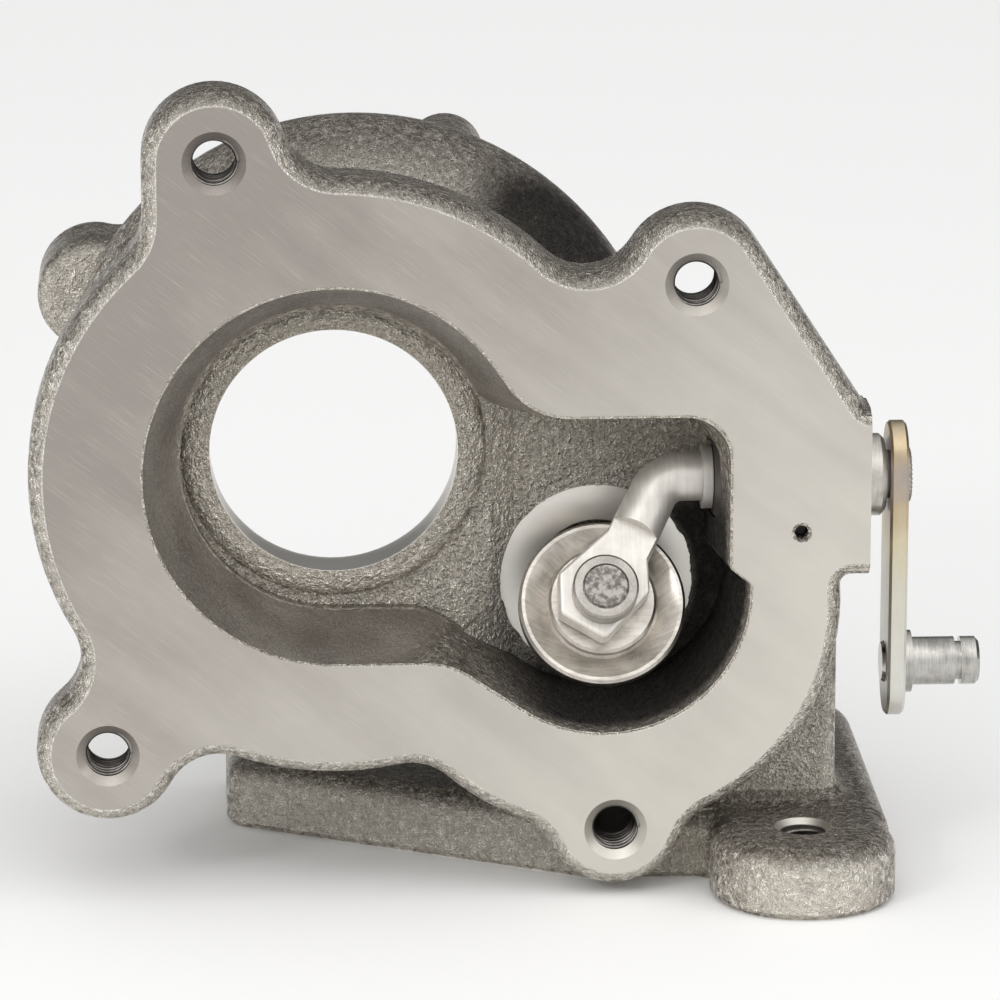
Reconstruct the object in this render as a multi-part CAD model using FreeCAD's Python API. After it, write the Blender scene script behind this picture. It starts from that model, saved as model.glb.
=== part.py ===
import FreeCAD, Part
import math
import os

"""Turbine housing of a small turbocharger, with its internal wastegate.

Sizes are in millimetres. The origin is where the turbine axis meets the joint
face for the bearing housing. +Z is up, the part stands on its inlet flange,
and the outlet flange looks along -Y. Depths are counted from the outlet face.
"""

# Housing as a whole
HOUSING_DEPTH = 62.0
BASE_DROP = 64.5

# Outlet flange, as cast, and the cut that makes its face
RING_RADIUS = 44.3
RING_DROP = 1.0
POCKET_END_RADIUS = 34.5
POCKET_END_RISE = 0.9
OUTLET_FLANGE_THICKNESS = 10.0
CAST_EDGE_ROUND = 4.0
FACE_ALLOWANCE = 0.4
REAR_EDGE_BREAK = 1.5
OUTLET_LUG_RADIUS = 10.4
OUTLET_VALLEY_RADIUS = 8.0
TOP_LEFT_BOLT_X = -17.0
TOP_LEFT_BOLT_Z = 45.7
TOP_RIGHT_BOLT_X = 51.8
TOP_RIGHT_BOLT_Z = 27.4
LOW_LEFT_BOLT_X = -33.4
LOW_LEFT_BOLT_Z = -41.6
LOW_RIGHT_BOLT_X = 40.5
LOW_RIGHT_BOLT_Z = -54.0
LOW_LUG_RISE = 1.4
WEB_SLOPE_DEGREES = 33.1
BLOCK_RISE = 12.3
BLOCK_FALL = 12.6
BLOCK_VALLEY_RADIUS = 1.5
STUD_HOLE_RADIUS = 3.4
STUD_CHAMFER = 1.2
STUD_BOSS_LENGTH = 8.0
BLIND_HOLE_DEPTH = 24.0

# Turbine wheel space
EXDUCER_RADIUS = 18.1
THROAT_LENGTH = 4.7
INDUCER_RADIUS = 24.0
NOZZLE_SETBACK = 28.0
NOZZLE_WIDTH = 6.0
NOZZLE_RADIUS = 28.0
HEAT_SHIELD_RADIUS = 28.6
HUB_WALL = 5.5

# Joint for the bearing housing
PILOT_RADIUS = 31.5
PILOT_LENGTH = 12.0
JOINT_RADIUS = 38.0
JOINT_THICKNESS = 14.0
JOINT_BOLT_CIRCLE = 79.0
JOINT_BOLT_ANGLE = 62.5
JOINT_BOSS_RADIUS = 5.9
WIDE_BOSS_RADIUS = 8.6
WIDE_BOSS_DROP = 2.2
JOINT_VALLEY_RADIUS = 5.0
JOINT_EDGE_ROUND = 2.0
JOINT_HOLE_RADIUS = 2.5
JOINT_HOLE_DEPTH = 11.0

# Scroll
SCROLL_SETBACK = 21.0
SCROLL_INNER_RADIUS = 25.0
SCROLL_START_BORE = 11.2
SCROLL_END_BORE = 3.2
SCROLL_SWEEP = 300.0
SCROLL_TAPER = 1.5
SCROLL_SECTIONS = 11
SCROLL_WALL = 4.0

# Outlet cavity
MOUTH_RADIUS = 27.9
MOUTH_DROP = 0.5
MOUTH_UPPER_FALL = 35.0
MOUTH_LOWER_RISE = 34.0
MOUTH_WAIST_RADIUS = 11.0
MOUTH_LOW_RADIUS = 12.0
MOUTH_EDGE_BREAK = 0.25
LIP_RADIUS = 22.4
LIP_DEPTH = 14.5
LIP_FALL = 2.4
LIP_CREST_WIDTH = 0.4
POCKET_RADIUS = 21.2
POCKET_RISE = 3.2
POCKET_TOP_RISE = 11.9
POCKET_CORNER_RADIUS = 6.5
POCKET_STEP_DROP = 10.85
POCKET_STEP_FALL = 2.4
POCKET_STEP_ROUND = 1.0
POCKET_DRAFT = 2.2
POCKET_WALL_X = 57.1
CAVITY_WALL = 5.5
RAMP_CREST_ROUND = 4.0
RAMP_SLOPE_DEGREES = 38.0
SEAT_X = 38.9
SEAT_RADIUS = 14.4
SEAT_DEPTH = 20.5
SEAT_RELIEF = 0.6
GATE_PORT_RADIUS = 9.0
GATE_PORT_OVERRUN = 7.0
GATE_PORT_WALL = 3.5

# Wastegate shaft, bush and lock pin
SHAFT_DEPTH = 12.0
SHAFT_DROP = 3.9
SHAFT_RADIUS = 3.55
SHAFT_CLEARANCE = 0.05
SHAFT_COLLAR_RADIUS = 4.7
SHAFT_COLLAR_LENGTH = 1.45
BUSH_RADIUS = 6.05
BUSH_INNER_X = 55.2
BUSH_OUTER_X = 80.4
BUSH_CHAMFER = 0.7
BUSH_WALL = 5.5
BOSS_FACE_X = 77.3
BLOCK_FRONT_INSET = 0.5
SIDE_ALLOWANCE = 5.0
LOCK_PIN_RADIUS = 1.0
LOCK_PIN_X = 67.3
LOCK_PIN_LENGTH = 20.0
LOCK_PIN_RECESS = 2.5
LOCK_PIN_CHAMFER = 0.5
LOCK_PIN_BITE = 0.45

# Wastegate arm and valve
VALVE_DROP = 17.5
VALVE_RADIUS = 12.2
VALVE_THICKNESS = 3.5
VALVE_RIM_WIDTH = 0.9
VALVE_DISH = 1.1
VALVE_BOSS_RADIUS = 7.9
VALVE_BOSS_RISE = 1.1
VALVE_EDGE_BREAK = 0.4
VALVE_SEAL_BEVEL = 1.1
STEM_RADIUS = 3.0
STEM_CLEARANCE = 0.08
STEM_HEAD_RADIUS = 3.4
STEM_HEAD_RISE = 0.35
WASHER_RADIUS = 4.8
WASHER_THICKNESS = 3.2
WASHER_EDGE_BREAK = 0.3
EYE_HALF_WIDTH = 6.6
EYE_POINT_DROP = 7.0
EYE_LEFT_CORNER = 3.0
EYE_THICKNESS = 4.4
EYE_NECK_REACH = 10.2
EYE_CORNER_RADIUS = 1.1
EYE_EDGE_ROUND = 0.6
EYE_PLAY = 0.15
SPOT_FACE_RADIUS = 11.2
LIMB_END_RADIUS = 3.8
ELBOW_X = 47.8
ELBOW_BEND_RADIUS = 5.0
SEAT_GAP = 0.05
REST_OPENING = 30.5

# Crank lever and its pin
LEVER_X = 80.9
LEVER_THICKNESS = 2.7
LEVER_WIDTH = 11.0
LEVER_EDGE_BREAK = 0.4
CRANK_RADIUS = 28.5
LEVER_END_REACH = 2.5
PIN_RADIUS = 3.55
PIN_COLLAR_RADIUS = 4.6
PIN_COLLAR_LENGTH = 1.2
PIN_BODY_LENGTH = 6.4
PIN_GROOVE_RADIUS = 2.85
PIN_GROOVE_LENGTH = 0.9
PIN_HEAD_LENGTH = 2.7
PIN_HEAD_CHAMFER = 0.5
RIVET_RADIUS = 3.1
RIVET_HEIGHT = 0.5
RIVET_CHAMFER = 0.3
PIN_SHANK_RADIUS = 2.5

# Inlet flange and duct
INLET_FLANGE_THICKNESS = 10.3
INLET_LUG_RADIUS = 13.6
FRONT_BOLT_X = 68.1
FRONT_BOLT_SETBACK = 40.1
REAR_BOLT_SETBACK = -18.5
LEFT_BOLT_X = -1.8
LEFT_BOLT_SETBACK = -8.8
LEFT_LUG_REACH = 14.3
LEFT_LUG_HALF_WIDTH = 12.2
LEFT_LUG_CORNER_RADIUS = 5.0
INLET_WAIST_X = 37.0
INLET_WAIST_SETBACK = 32.2
INLET_VALLEY_RADIUS = 3.0
INLET_EDGE_ROUND = 3.5
INLET_BASE_BREAK = 1.0
INLET_TOP_CHAMFER = 0.8
INLET_PORT_RADIUS = 17.0
INLET_PORT_X = 44.0
DUCT_WALL = 4.5
DUCT_NECK_RISE = 4.0
DUCT_SHOULDER_DROP = 12.0
LEG_X = 74.3
LEG_INNER_X = 44.0
LEG_SETBACK = 12.9
LEG_THICKNESS = 15.0
LEG_CORNER_RADIUS = 2.5
LEG_FOOT_ROUND = 3.5

# How far a cutting tool runs past what it cuts
OVERRUN = 1.0

NOZZLE_FRONT = HOUSING_DEPTH - NOZZLE_SETBACK
SCROLL_DEPTH = HOUSING_DEPTH - SCROLL_SETBACK
OUTLET_BOLTS = ((TOP_LEFT_BOLT_X, TOP_LEFT_BOLT_Z), (TOP_RIGHT_BOLT_X, TOP_RIGHT_BOLT_Z),
                (LOW_LEFT_BOLT_X, LOW_LEFT_BOLT_Z), (LOW_RIGHT_BOLT_X, LOW_RIGHT_BOLT_Z))
FRONT_BOLT_DEPTH = SCROLL_DEPTH - FRONT_BOLT_SETBACK
INLET_BOLTS = ((FRONT_BOLT_X, FRONT_BOLT_DEPTH), (FRONT_BOLT_X, SCROLL_DEPTH - REAR_BOLT_SETBACK),
               (LEFT_BOLT_X, SCROLL_DEPTH - LEFT_BOLT_SETBACK))
LEG_DEPTH = FRONT_BOLT_DEPTH + LEG_SETBACK
OUTLET_Y = -HOUSING_DEPTH
SHAFT_Z = -SHAFT_DROP
SHAFT_Y = OUTLET_Y + SHAFT_DEPTH
SEAT_Z = SHAFT_Z - VALVE_DROP
BASE_Z = -BASE_DROP
FLANGE_TOP_Z = BASE_Z + INLET_FLANGE_THICKNESS

Vec = FreeCAD.Vector
ALONG_X = Vec(1, 0, 0)
ALONG_Y = Vec(0, 1, 0)
ALONG_Z = Vec(0, 0, 1)


def at(x, depth, z):
    """Point of the part given by its depth behind the outlet face."""
    return Vec(x, OUTLET_Y + depth, z)


def rod(start, direction, length, radius):
    """Solid cylinder from a start point."""
    return Part.makeCylinder(radius, length, start, direction)


def cone(start, direction, length, radius_start, radius_end):
    """Solid cone frustum from a start point."""
    return Part.makeCone(radius_start, radius_end, length, start, direction)


def rounded_wire(corners, place):
    """Closed wire of lines and tangent arcs; corners are (u, v, radius) and place maps u, v to a point."""
    count = len(corners)
    ends = []
    for i, (u, v, radius) in enumerate(corners):
        before = corners[i - 1]
        after = corners[(i + 1) % count]
        corner = Vec(u, v, 0)
        back = (Vec(before[0], before[1], 0) - corner).normalize()
        ahead = (Vec(after[0], after[1], 0) - corner).normalize()
        half = back.getAngle(ahead) / 2
        reach = radius / math.tan(half)
        middle = (back + ahead).normalize()
        nearest = radius / math.sin(half) - radius
        ends.append((corner + back * reach, corner + middle * nearest, corner + ahead * reach))
    edges = []
    for i, (enter, middle, leave) in enumerate(ends):
        following = ends[(i + 1) % count][0]
        edges.append(Part.Arc(place(enter), place(middle), place(leave)).toShape())
        if (following - leave).Length > 1e-6:
            edges.append(Part.LineSegment(place(leave), place(following)).toShape())
    return Part.Wire(edges)


def facing(depth):
    """Map from outline coordinates to the plane at a depth behind the outlet face."""
    return lambda point: at(point.x, depth, point.y)


def level(z):
    """Map from plan coordinates (x, depth) to the horizontal plane at a height."""
    return lambda point: at(point.x, point.y, z)


def disc(x, z, radius, depth=0.0):
    """Round face in a plane at a depth behind the outlet face."""
    circle = Part.Circle(at(x, depth, z), ALONG_Y, radius)
    return Part.Face(Part.Wire(circle.toShape()))


def plan_disc(x, depth, radius, z):
    """Round face in a horizontal plane."""
    circle = Part.Circle(at(x, depth, z), ALONG_Z, radius)
    return Part.Face(Part.Wire(circle.toShape()))


def polygon(points, place):
    """Plain polygon face; points are (u, v) and place maps them to the part."""
    corners = [place(Vec(u, v, 0)) for u, v in points]
    return Part.Face(Part.makePolygon(corners + corners[:1]))


def union(shapes):
    """One shape from several, with the seams between coplanar faces removed."""
    whole = shapes[0]
    if len(shapes) > 1:
        whole = whole.multiFuse(shapes[1:])
    return whole.removeSplitter()


def with_blended_valleys(faces, radius):
    """One flat face from several, its inner corners filled with arcs of a radius."""
    whole = union(faces)
    grown = Part.Face(whole.Faces[0].makeOffset2D(radius).Wires[0])
    return Part.Face(grown.makeOffset2D(-radius).Wires[0])


def edges_in_plane(shape, axis, value):
    """Edges of a shape that lie wholly in a plane across an axis (0, 1 or 2)."""
    picked = []
    for edge in shape.Edges:
        box = edge.BoundBox
        low = (box.XMin, box.YMin, box.ZMin)[axis]
        high = (box.XMax, box.YMax, box.ZMax)[axis]
        if abs(low - value) < 1e-4 and abs(high - value) < 1e-4:
            picked.append(edge)
    return picked


def outlet_outline():
    """Cast outline of the outlet flange: ring, pocket end, four lugs and the bush block."""
    ring = disc(0, -RING_DROP, RING_RADIUS)
    pocket_end = disc(SEAT_X, SEAT_Z + POCKET_END_RISE, POCKET_END_RADIUS)
    lugs = []
    for i, (x, z) in enumerate(OUTLET_BOLTS):
        rise = LOW_LUG_RISE if i == 3 else 0
        lugs.append(disc(x, z + rise, OUTLET_LUG_RADIUS))
    left = TOP_LEFT_BOLT_X - OUTLET_LUG_RADIUS
    neck = polygon(((left, TOP_LEFT_BOLT_Z), (TOP_LEFT_BOLT_X, TOP_LEFT_BOLT_Z), (TOP_LEFT_BOLT_X, 0),
                    (left, 0)), facing(0))
    slope = math.radians(WEB_SLOPE_DEGREES)
    shoulder_x = TOP_RIGHT_BOLT_X + OUTLET_LUG_RADIUS * math.cos(slope)
    shoulder_z = TOP_RIGHT_BOLT_Z + OUTLET_LUG_RADIUS * math.sin(slope)
    block_top = SHAFT_Z + BLOCK_RISE
    block_low = SHAFT_Z - BLOCK_FALL
    diagonal_x = shoulder_x + (shoulder_z - block_top) * math.tan(slope)
    inside = RING_RADIUS / 4
    web = polygon(((inside, -inside), (inside, 2 * inside),
                   (TOP_RIGHT_BOLT_X - 1.35 * OUTLET_LUG_RADIUS, TOP_RIGHT_BOLT_Z - OUTLET_LUG_RADIUS / 3),
                   (TOP_RIGHT_BOLT_X, TOP_RIGHT_BOLT_Z), (shoulder_x, shoulder_z), (diagonal_x, block_top),
                   (diagonal_x, -inside)), facing(0))
    blended = with_blended_valleys([ring, pocket_end, neck, web] + lugs, OUTLET_VALLEY_RADIUS)
    side = BOSS_FACE_X + SIDE_ALLOWANCE
    block = polygon(((TOP_RIGHT_BOLT_X, block_top), (side, block_top), (side, block_low),
                     (TOP_RIGHT_BOLT_X, block_low)), facing(0))
    return with_blended_valleys([blended, block], BLOCK_VALLEY_RADIUS)


def outlet_flange():
    """Outlet flange plate with a cast, rounded front edge and a machined face."""
    outline = outlet_outline()
    outline.translate(Vec(0, -FACE_ALLOWANCE, 0))
    plate = outline.extrude(ALONG_Y * (OUTLET_FLANGE_THICKNESS + FACE_ALLOWANCE))
    plate = plate.makeFillet(CAST_EDGE_ROUND, edges_in_plane(plate, 1, OUTLET_Y - FACE_ALLOWANCE))
    plate = plate.makeChamfer(REAR_EDGE_BREAK, edges_in_plane(plate, 1, OUTLET_Y + OUTLET_FLANGE_THICKNESS))
    size = 4 * RING_RADIUS
    waste = Part.makeBox(2 * size, size, 2 * size, Vec(-size, OUTLET_Y - size, -size))
    return plate.cut(waste)


def mouth_corners(inset_ring, inset_pocket):
    """Corners of the cavity outline: ring about the turbine axis, pocket round the valve, bush wall."""
    ring = MOUTH_RADIUS - inset_ring
    pocket = POCKET_RADIUS - inset_pocket
    middle_z = -MOUTH_DROP - 0.18 * inset_ring
    pocket_z = SEAT_Z + POCKET_RISE
    top = SHAFT_Z + POCKET_TOP_RISE - inset_pocket
    wall = POCKET_WALL_X - inset_pocket
    bottom = middle_z - ring
    fall = math.radians(MOUTH_UPPER_FALL)
    ring_turn_x = ring * math.tan((math.pi / 2 - fall) / 2)
    ring_exit = (ring * math.cos(fall), middle_z + ring * math.sin(fall))
    top_x = ring_exit[0] + (ring_exit[1] - top) * math.tan(fall)
    rise = math.radians(MOUTH_LOWER_RISE)
    pocket_turn_x = SEAT_X - pocket * math.tan(rise / 2)
    pocket_exit = (SEAT_X - pocket * math.sin(rise), pocket_z - pocket * math.cos(rise))
    low_x = pocket_exit[0] - (bottom - pocket_exit[1]) / math.tan(rise)
    step_z = SHAFT_Z - POCKET_STEP_DROP
    right = SEAT_X + pocket
    low = pocket_z - pocket
    return [(-ring, middle_z + ring, ring), (ring_turn_x, middle_z + ring, ring),
            (top_x, top, MOUTH_WAIST_RADIUS), (wall, top, POCKET_CORNER_RADIUS),
            (wall, step_z, POCKET_STEP_ROUND), (right, step_z - POCKET_STEP_FALL, POCKET_STEP_ROUND),
            (right, low, pocket), (pocket_turn_x, low, pocket),
            (low_x, bottom, MOUTH_LOW_RADIUS), (-ring, bottom, ring)]


def mouth_wire(depth, inset_ring, inset_pocket):
    """Outline of the outlet cavity at one depth."""
    return rounded_wire(mouth_corners(inset_ring, inset_pocket), facing(depth))


def lip_groove():
    """Ring that is cut away round the bore, so that its lip has a rounded crest."""
    inner = EXDUCER_RADIUS + LIP_CREST_WIDTH
    width = LIP_RADIUS - inner
    front = LIP_DEPTH - OVERRUN
    crest = at(inner, LIP_DEPTH, 0)
    middle = at(inner + 0.6 * width, LIP_DEPTH + 0.25 * LIP_FALL, 0)
    foot = at(LIP_RADIUS, LIP_DEPTH + LIP_FALL, 0)
    rim = at(LIP_RADIUS + MOUTH_WAIST_RADIUS, LIP_DEPTH + LIP_FALL, 0)
    edges = [Part.Arc(crest, middle, foot).toShape(), Part.LineSegment(foot, rim).toShape(),
             Part.LineSegment(rim, at(LIP_RADIUS + MOUTH_WAIST_RADIUS, front, 0)).toShape(),
             Part.LineSegment(at(LIP_RADIUS + MOUTH_WAIST_RADIUS, front, 0), at(inner, front, 0)).toShape(),
             Part.LineSegment(at(inner, front, 0), crest).toShape()]
    return Part.Face(Part.Wire(edges)).revolve(at(0, 0, 0), ALONG_Y, 360)


def floor_ramp():
    """Block whose end falls in a slope from the lip of the bore to the floor round the seat."""
    slope = math.radians(RAMP_SLOPE_DEGREES)
    start = EXDUCER_RADIUS + LIP_CREST_WIDTH
    floor = SEAT_DEPTH - SEAT_RELIEF
    front = LIP_DEPTH - OVERRUN
    bend = RAMP_CREST_ROUND
    turn = (start + bend * math.sin(slope), LIP_DEPTH + bend * (1 - math.cos(slope)))
    half = (start + bend * math.sin(slope / 2), LIP_DEPTH + bend * (1 - math.cos(slope / 2)))
    end = turn[0] + (floor - turn[1]) / math.tan(slope)
    low = -BASE_DROP
    profile = ((start, front), (start, LIP_DEPTH), half, turn, (end, floor), (BOSS_FACE_X, floor),
               (BOSS_FACE_X, front))
    corners = [Vec(x, OUTLET_Y + depth, low) for x, depth in profile]
    edges = [Part.Arc(corners[1], corners[2], corners[3]).toShape(),
             Part.LineSegment(corners[0], corners[1]).toShape()]
    loop = corners[3:] + corners[:1]
    for first, second in zip(loop, loop[1:]):
        edges.append(Part.LineSegment(first, second).toShape())
    face = Part.Face(Part.Wire(Part.__sortEdges__(edges)))
    return face.extrude(ALONG_Z * (2 * BASE_DROP))


def outlet_cavity():
    """Space between the outlet face and the floor round the bore and the valve seat."""
    inset = MOUTH_RADIUS - LIP_RADIUS
    over = OVERRUN
    wires = [mouth_wire(-over, -inset * over / LIP_DEPTH, 0), mouth_wire(LIP_DEPTH, inset, POCKET_DRAFT)]
    upper = Part.makeLoft(wires, True, True)
    edge = MOUTH_EDGE_BREAK
    bevel = Part.makeLoft([mouth_wire(-edge, -2 * edge, -2 * edge), mouth_wire(edge, 0, 0)], True, True)
    below = Part.Face(mouth_wire(LIP_DEPTH - over, inset, POCKET_DRAFT))
    below = below.extrude(ALONG_Y * (SEAT_DEPTH - SEAT_RELIEF - LIP_DEPTH + over))
    lower = below.common(union([lip_groove(), floor_ramp()]))
    seat = rod(at(SEAT_X, LIP_DEPTH - over, SEAT_Z), ALONG_Y, SEAT_DEPTH - LIP_DEPTH + over, SEAT_RADIUS)
    return [union([upper, bevel]), lower, seat]


def outlet_neck():
    """Walls round the outlet cavity, from the flange back to the scroll."""
    start = OUTLET_FLANGE_THICKNESS - REAR_EDGE_BREAK
    outline = Part.Face(Part.Face(mouth_wire(start, 0, 0)).makeOffset2D(CAVITY_WALL).Wires[0])
    return outline.extrude(ALONG_Y * (SEAT_DEPTH + BUSH_WALL - start))


def bush_block():
    """Thick wall that carries the wastegate bush, round behind the shaft."""
    half = BUSH_RADIUS + BUSH_WALL
    start = Vec(POCKET_WALL_X - CAVITY_WALL, SHAFT_Y, SHAFT_Z)
    length = BOSS_FACE_X - start.x
    front = Part.makeBox(length, SHAFT_DEPTH - BLOCK_FRONT_INSET, 2 * half,
                         Vec(start.x, OUTLET_Y + BLOCK_FRONT_INSET, SHAFT_Z - half))
    return front.fuse(rod(start, ALONG_X, length, half))


def scroll_section(angle, radius, centre_radius):
    """Round section of the scroll in the half plane at an angle about the turbine axis."""
    turn = math.radians(angle)
    outward = Vec(math.cos(turn), 0, math.sin(turn))
    tangent = Vec(-math.sin(turn), 0, math.cos(turn))
    centre = at(0, SCROLL_DEPTH, 0) + outward * centre_radius
    circle = Part.Circle(centre, tangent, radius)
    circle.XAxis = outward
    return Part.Wire(circle.toShape())


def scroll_tube(wall):
    """Scroll that narrows from the inlet side to its tongue; wall 0 gives the passage."""
    wires = []
    for i in range(SCROLL_SECTIONS):
        share = i / (SCROLL_SECTIONS - 1)
        bore = SCROLL_END_BORE + (SCROLL_START_BORE - SCROLL_END_BORE) * (1 - share) ** SCROLL_TAPER
        wires.append(scroll_section(SCROLL_SWEEP * share, bore + wall, SCROLL_INNER_RADIUS + bore))
    return Part.makeLoft(wires, True, wall == 0)


def inlet_duct(wall):
    """Duct from the inlet flange up to the start of the scroll; wall 0 gives the passage."""
    lowest_z = BASE_Z - OVERRUN if wall == 0 else BASE_Z + INLET_EDGE_ROUND
    start_x = SCROLL_INNER_RADIUS + SCROLL_START_BORE
    rings = [(INLET_PORT_X, lowest_z, INLET_PORT_RADIUS),
             (INLET_PORT_X, FLANGE_TOP_Z + DUCT_NECK_RISE, INLET_PORT_RADIUS),
             (start_x, -DUCT_SHOULDER_DROP, SCROLL_START_BORE), (start_x, 0, SCROLL_START_BORE)]
    wires = []
    for x, z, radius in rings:
        circle = Part.Circle(at(x, SCROLL_DEPTH, z), ALONG_Z, radius + wall)
        wires.append(Part.Wire(circle.toShape()))
    return Part.makeLoft(wires, True, True)


def inlet_flange():
    """Three-bolt manifold flange with rounded cast edges and a machined underside."""
    front, rear, left = INLET_BOLTS
    discs = [plan_disc(x, depth, INLET_LUG_RADIUS, BASE_Z) for x, depth in (front, rear)]
    left_x = left[0] - LEFT_LUG_REACH
    right_x = front[0] + INLET_LUG_RADIUS
    waist = SCROLL_DEPTH - INLET_WAIST_SETBACK
    plate = polygon(((left_x, left[1] - LEFT_LUG_HALF_WIDTH), (INLET_WAIST_X, waist), (right_x, waist),
                     (right_x, rear[1]), (rear[0], rear[1] + INLET_LUG_RADIUS),
                     (left_x, left[1] + LEFT_LUG_HALF_WIDTH)), level(BASE_Z))
    outline = with_blended_valleys([plate] + discs, INLET_VALLEY_RADIUS)
    solid = outline.extrude(ALONG_Z * INLET_FLANGE_THICKNESS)
    uprights = []
    for edge in solid.Edges:
        box = edge.BoundBox
        if box.ZLength > 0.99 * INLET_FLANGE_THICKNESS and box.XMax < left_x + LEFT_LUG_CORNER_RADIUS / 10:
            uprights.append(edge)
    solid = solid.makeFillet(LEFT_LUG_CORNER_RADIUS, uprights)
    solid = solid.makeFillet(INLET_EDGE_ROUND, edges_in_plane(solid, 2, FLANGE_TOP_Z))
    return solid.makeChamfer(INLET_BASE_BREAK, edges_in_plane(solid, 2, BASE_Z))


def leg_wire(z, spread):
    """Outline of the leg at a height, grown by a spread."""
    corners = [(LEG_INNER_X - spread, LEG_DEPTH - spread), (LEG_X + spread, LEG_DEPTH - spread),
               (LEG_X + spread, LEG_DEPTH + LEG_THICKNESS + spread),
               (LEG_INNER_X - spread, LEG_DEPTH + LEG_THICKNESS + spread)]
    return rounded_wire([(x, depth, LEG_CORNER_RADIUS + spread) for x, depth in corners], level(z))


def leg():
    """Flat web that ties the bush block to the inlet flange, spread in a round foot."""
    reach = LEG_FOOT_ROUND
    wires = [leg_wire(FLANGE_TOP_Z - reach / 4, reach)]
    for i in range(4):
        turn = math.radians(30 * i)
        wires.append(leg_wire(FLANGE_TOP_Z + reach * (1 - math.cos(turn)), reach * (1 - math.sin(turn))))
    wires.append(leg_wire(SHAFT_Z - BUSH_RADIUS - BUSH_WALL / 2, 0))
    return Part.makeLoft(wires, True, True)


def joint_flange():
    """Round flange for the bearing housing, with four bolt bosses, one of them wide."""
    depth = HOUSING_DEPTH - JOINT_THICKNESS
    faces = [disc(0, 0, JOINT_RADIUS, depth)]
    for i, (x, z) in enumerate(joint_bolts()):
        faces.append(disc(x, z, JOINT_BOSS_RADIUS, depth))
        if i == 1:
            faces.append(disc(x, z - WIDE_BOSS_DROP, WIDE_BOSS_RADIUS, depth))
    outline = with_blended_valleys(faces, JOINT_VALLEY_RADIUS)
    flange = outline.extrude(ALONG_Y * JOINT_THICKNESS)
    return flange.makeFillet(JOINT_EDGE_ROUND, edges_in_plane(flange, 1, OUTLET_Y + depth))


def joint_bolts():
    """Centres (x, z) of the bolts for the bearing housing."""
    centres = []
    for i in range(4):
        turn = math.radians(JOINT_BOLT_ANGLE + 90 * i)
        centres.append((JOINT_BOLT_CIRCLE / 2 * math.cos(turn), JOINT_BOLT_CIRCLE / 2 * math.sin(turn)))
    return centres


def hub():
    """Solid core round the turbine axis, before the wheel space is bored."""
    start = OUTLET_FLANGE_THICKNESS
    length = HOUSING_DEPTH - JOINT_THICKNESS / 2 - start
    return rod(at(0, start, 0), ALONG_Y, length, NOZZLE_RADIUS + HUB_WALL)


def wheel_space():
    """Wheel contour, nozzle slot, heat shield recess and pilot bore, turned about the turbine axis."""
    throat_end = LIP_DEPTH + THROAT_LENGTH
    nozzle_back = NOZZLE_FRONT + NOZZLE_WIDTH
    pilot_start = HOUSING_DEPTH - PILOT_LENGTH
    front = LIP_DEPTH - OVERRUN
    start = at(0, front, 0)
    throat = at(EXDUCER_RADIUS, throat_end, 0)
    flare = at(EXDUCER_RADIUS + (INDUCER_RADIUS - EXDUCER_RADIUS) * 0.22, (throat_end + NOZZLE_FRONT) / 2, 0)
    flare_end = at(INDUCER_RADIUS, NOZZLE_FRONT, 0)
    corners = [start, at(EXDUCER_RADIUS, front, 0), throat]
    steps = [flare_end, at(NOZZLE_RADIUS, NOZZLE_FRONT, 0), at(NOZZLE_RADIUS, nozzle_back, 0),
             at(HEAT_SHIELD_RADIUS, nozzle_back, 0), at(HEAT_SHIELD_RADIUS, pilot_start, 0),
             at(PILOT_RADIUS, pilot_start, 0), at(PILOT_RADIUS, HOUSING_DEPTH + OVERRUN, 0),
             at(0, HOUSING_DEPTH + OVERRUN, 0), start]
    edges = [Part.Arc(throat, flare, flare_end).toShape()]
    for first, second in list(zip(corners, corners[1:])) + list(zip(steps, steps[1:])):
        edges.append(Part.LineSegment(first, second).toShape())
    profile = Part.Wire(Part.__sortEdges__(edges))
    return Part.Face(profile).revolve(at(0, 0, 0), ALONG_Y, 360)


def gate_port(wall):
    """Bypass from the inlet duct to the valve's seat, or the wall round it."""
    start = SEAT_DEPTH + (BUSH_WALL / 2 if wall else -OVERRUN)
    length = SCROLL_DEPTH - GATE_PORT_OVERRUN - start
    return rod(at(SEAT_X, start, SEAT_Z), ALONG_Y, length, GATE_PORT_RADIUS + wall)


def stud_hole(start, direction, length):
    """Tapped hole with its chamfered mouth at the start point."""
    hole = rod(start - direction * OVERRUN, direction, length + OVERRUN, STUD_HOLE_RADIUS)
    mouth = cone(start, direction, STUD_CHAMFER, STUD_HOLE_RADIUS + STUD_CHAMFER, STUD_HOLE_RADIUS)
    return hole.fuse(mouth)


def bolt_holes():
    """Every tapped hole of the casting."""
    holes = []
    for i, (x, z) in enumerate(OUTLET_BOLTS):
        depth = BLIND_HOLE_DEPTH if i == 3 else OUTLET_FLANGE_THICKNESS + STUD_BOSS_LENGTH
        holes.append(stud_hole(at(x, 0, z), ALONG_Y, depth))
    bevel = INLET_TOP_CHAMFER
    for x, depth in INLET_BOLTS:
        holes.append(stud_hole(at(x, depth, BASE_Z), ALONG_Z, INLET_FLANGE_THICKNESS + OVERRUN))
        holes.append(cone(at(x, depth, FLANGE_TOP_Z - bevel), ALONG_Z, bevel + OVERRUN, STUD_HOLE_RADIUS,
                          STUD_HOLE_RADIUS + bevel + OVERRUN))
    for x, z in joint_bolts():
        start = at(x, HOUSING_DEPTH + OVERRUN, z)
        holes.append(rod(start, ALONG_Y * -1, JOINT_HOLE_DEPTH + OVERRUN, JOINT_HOLE_RADIUS))
    return holes


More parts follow.
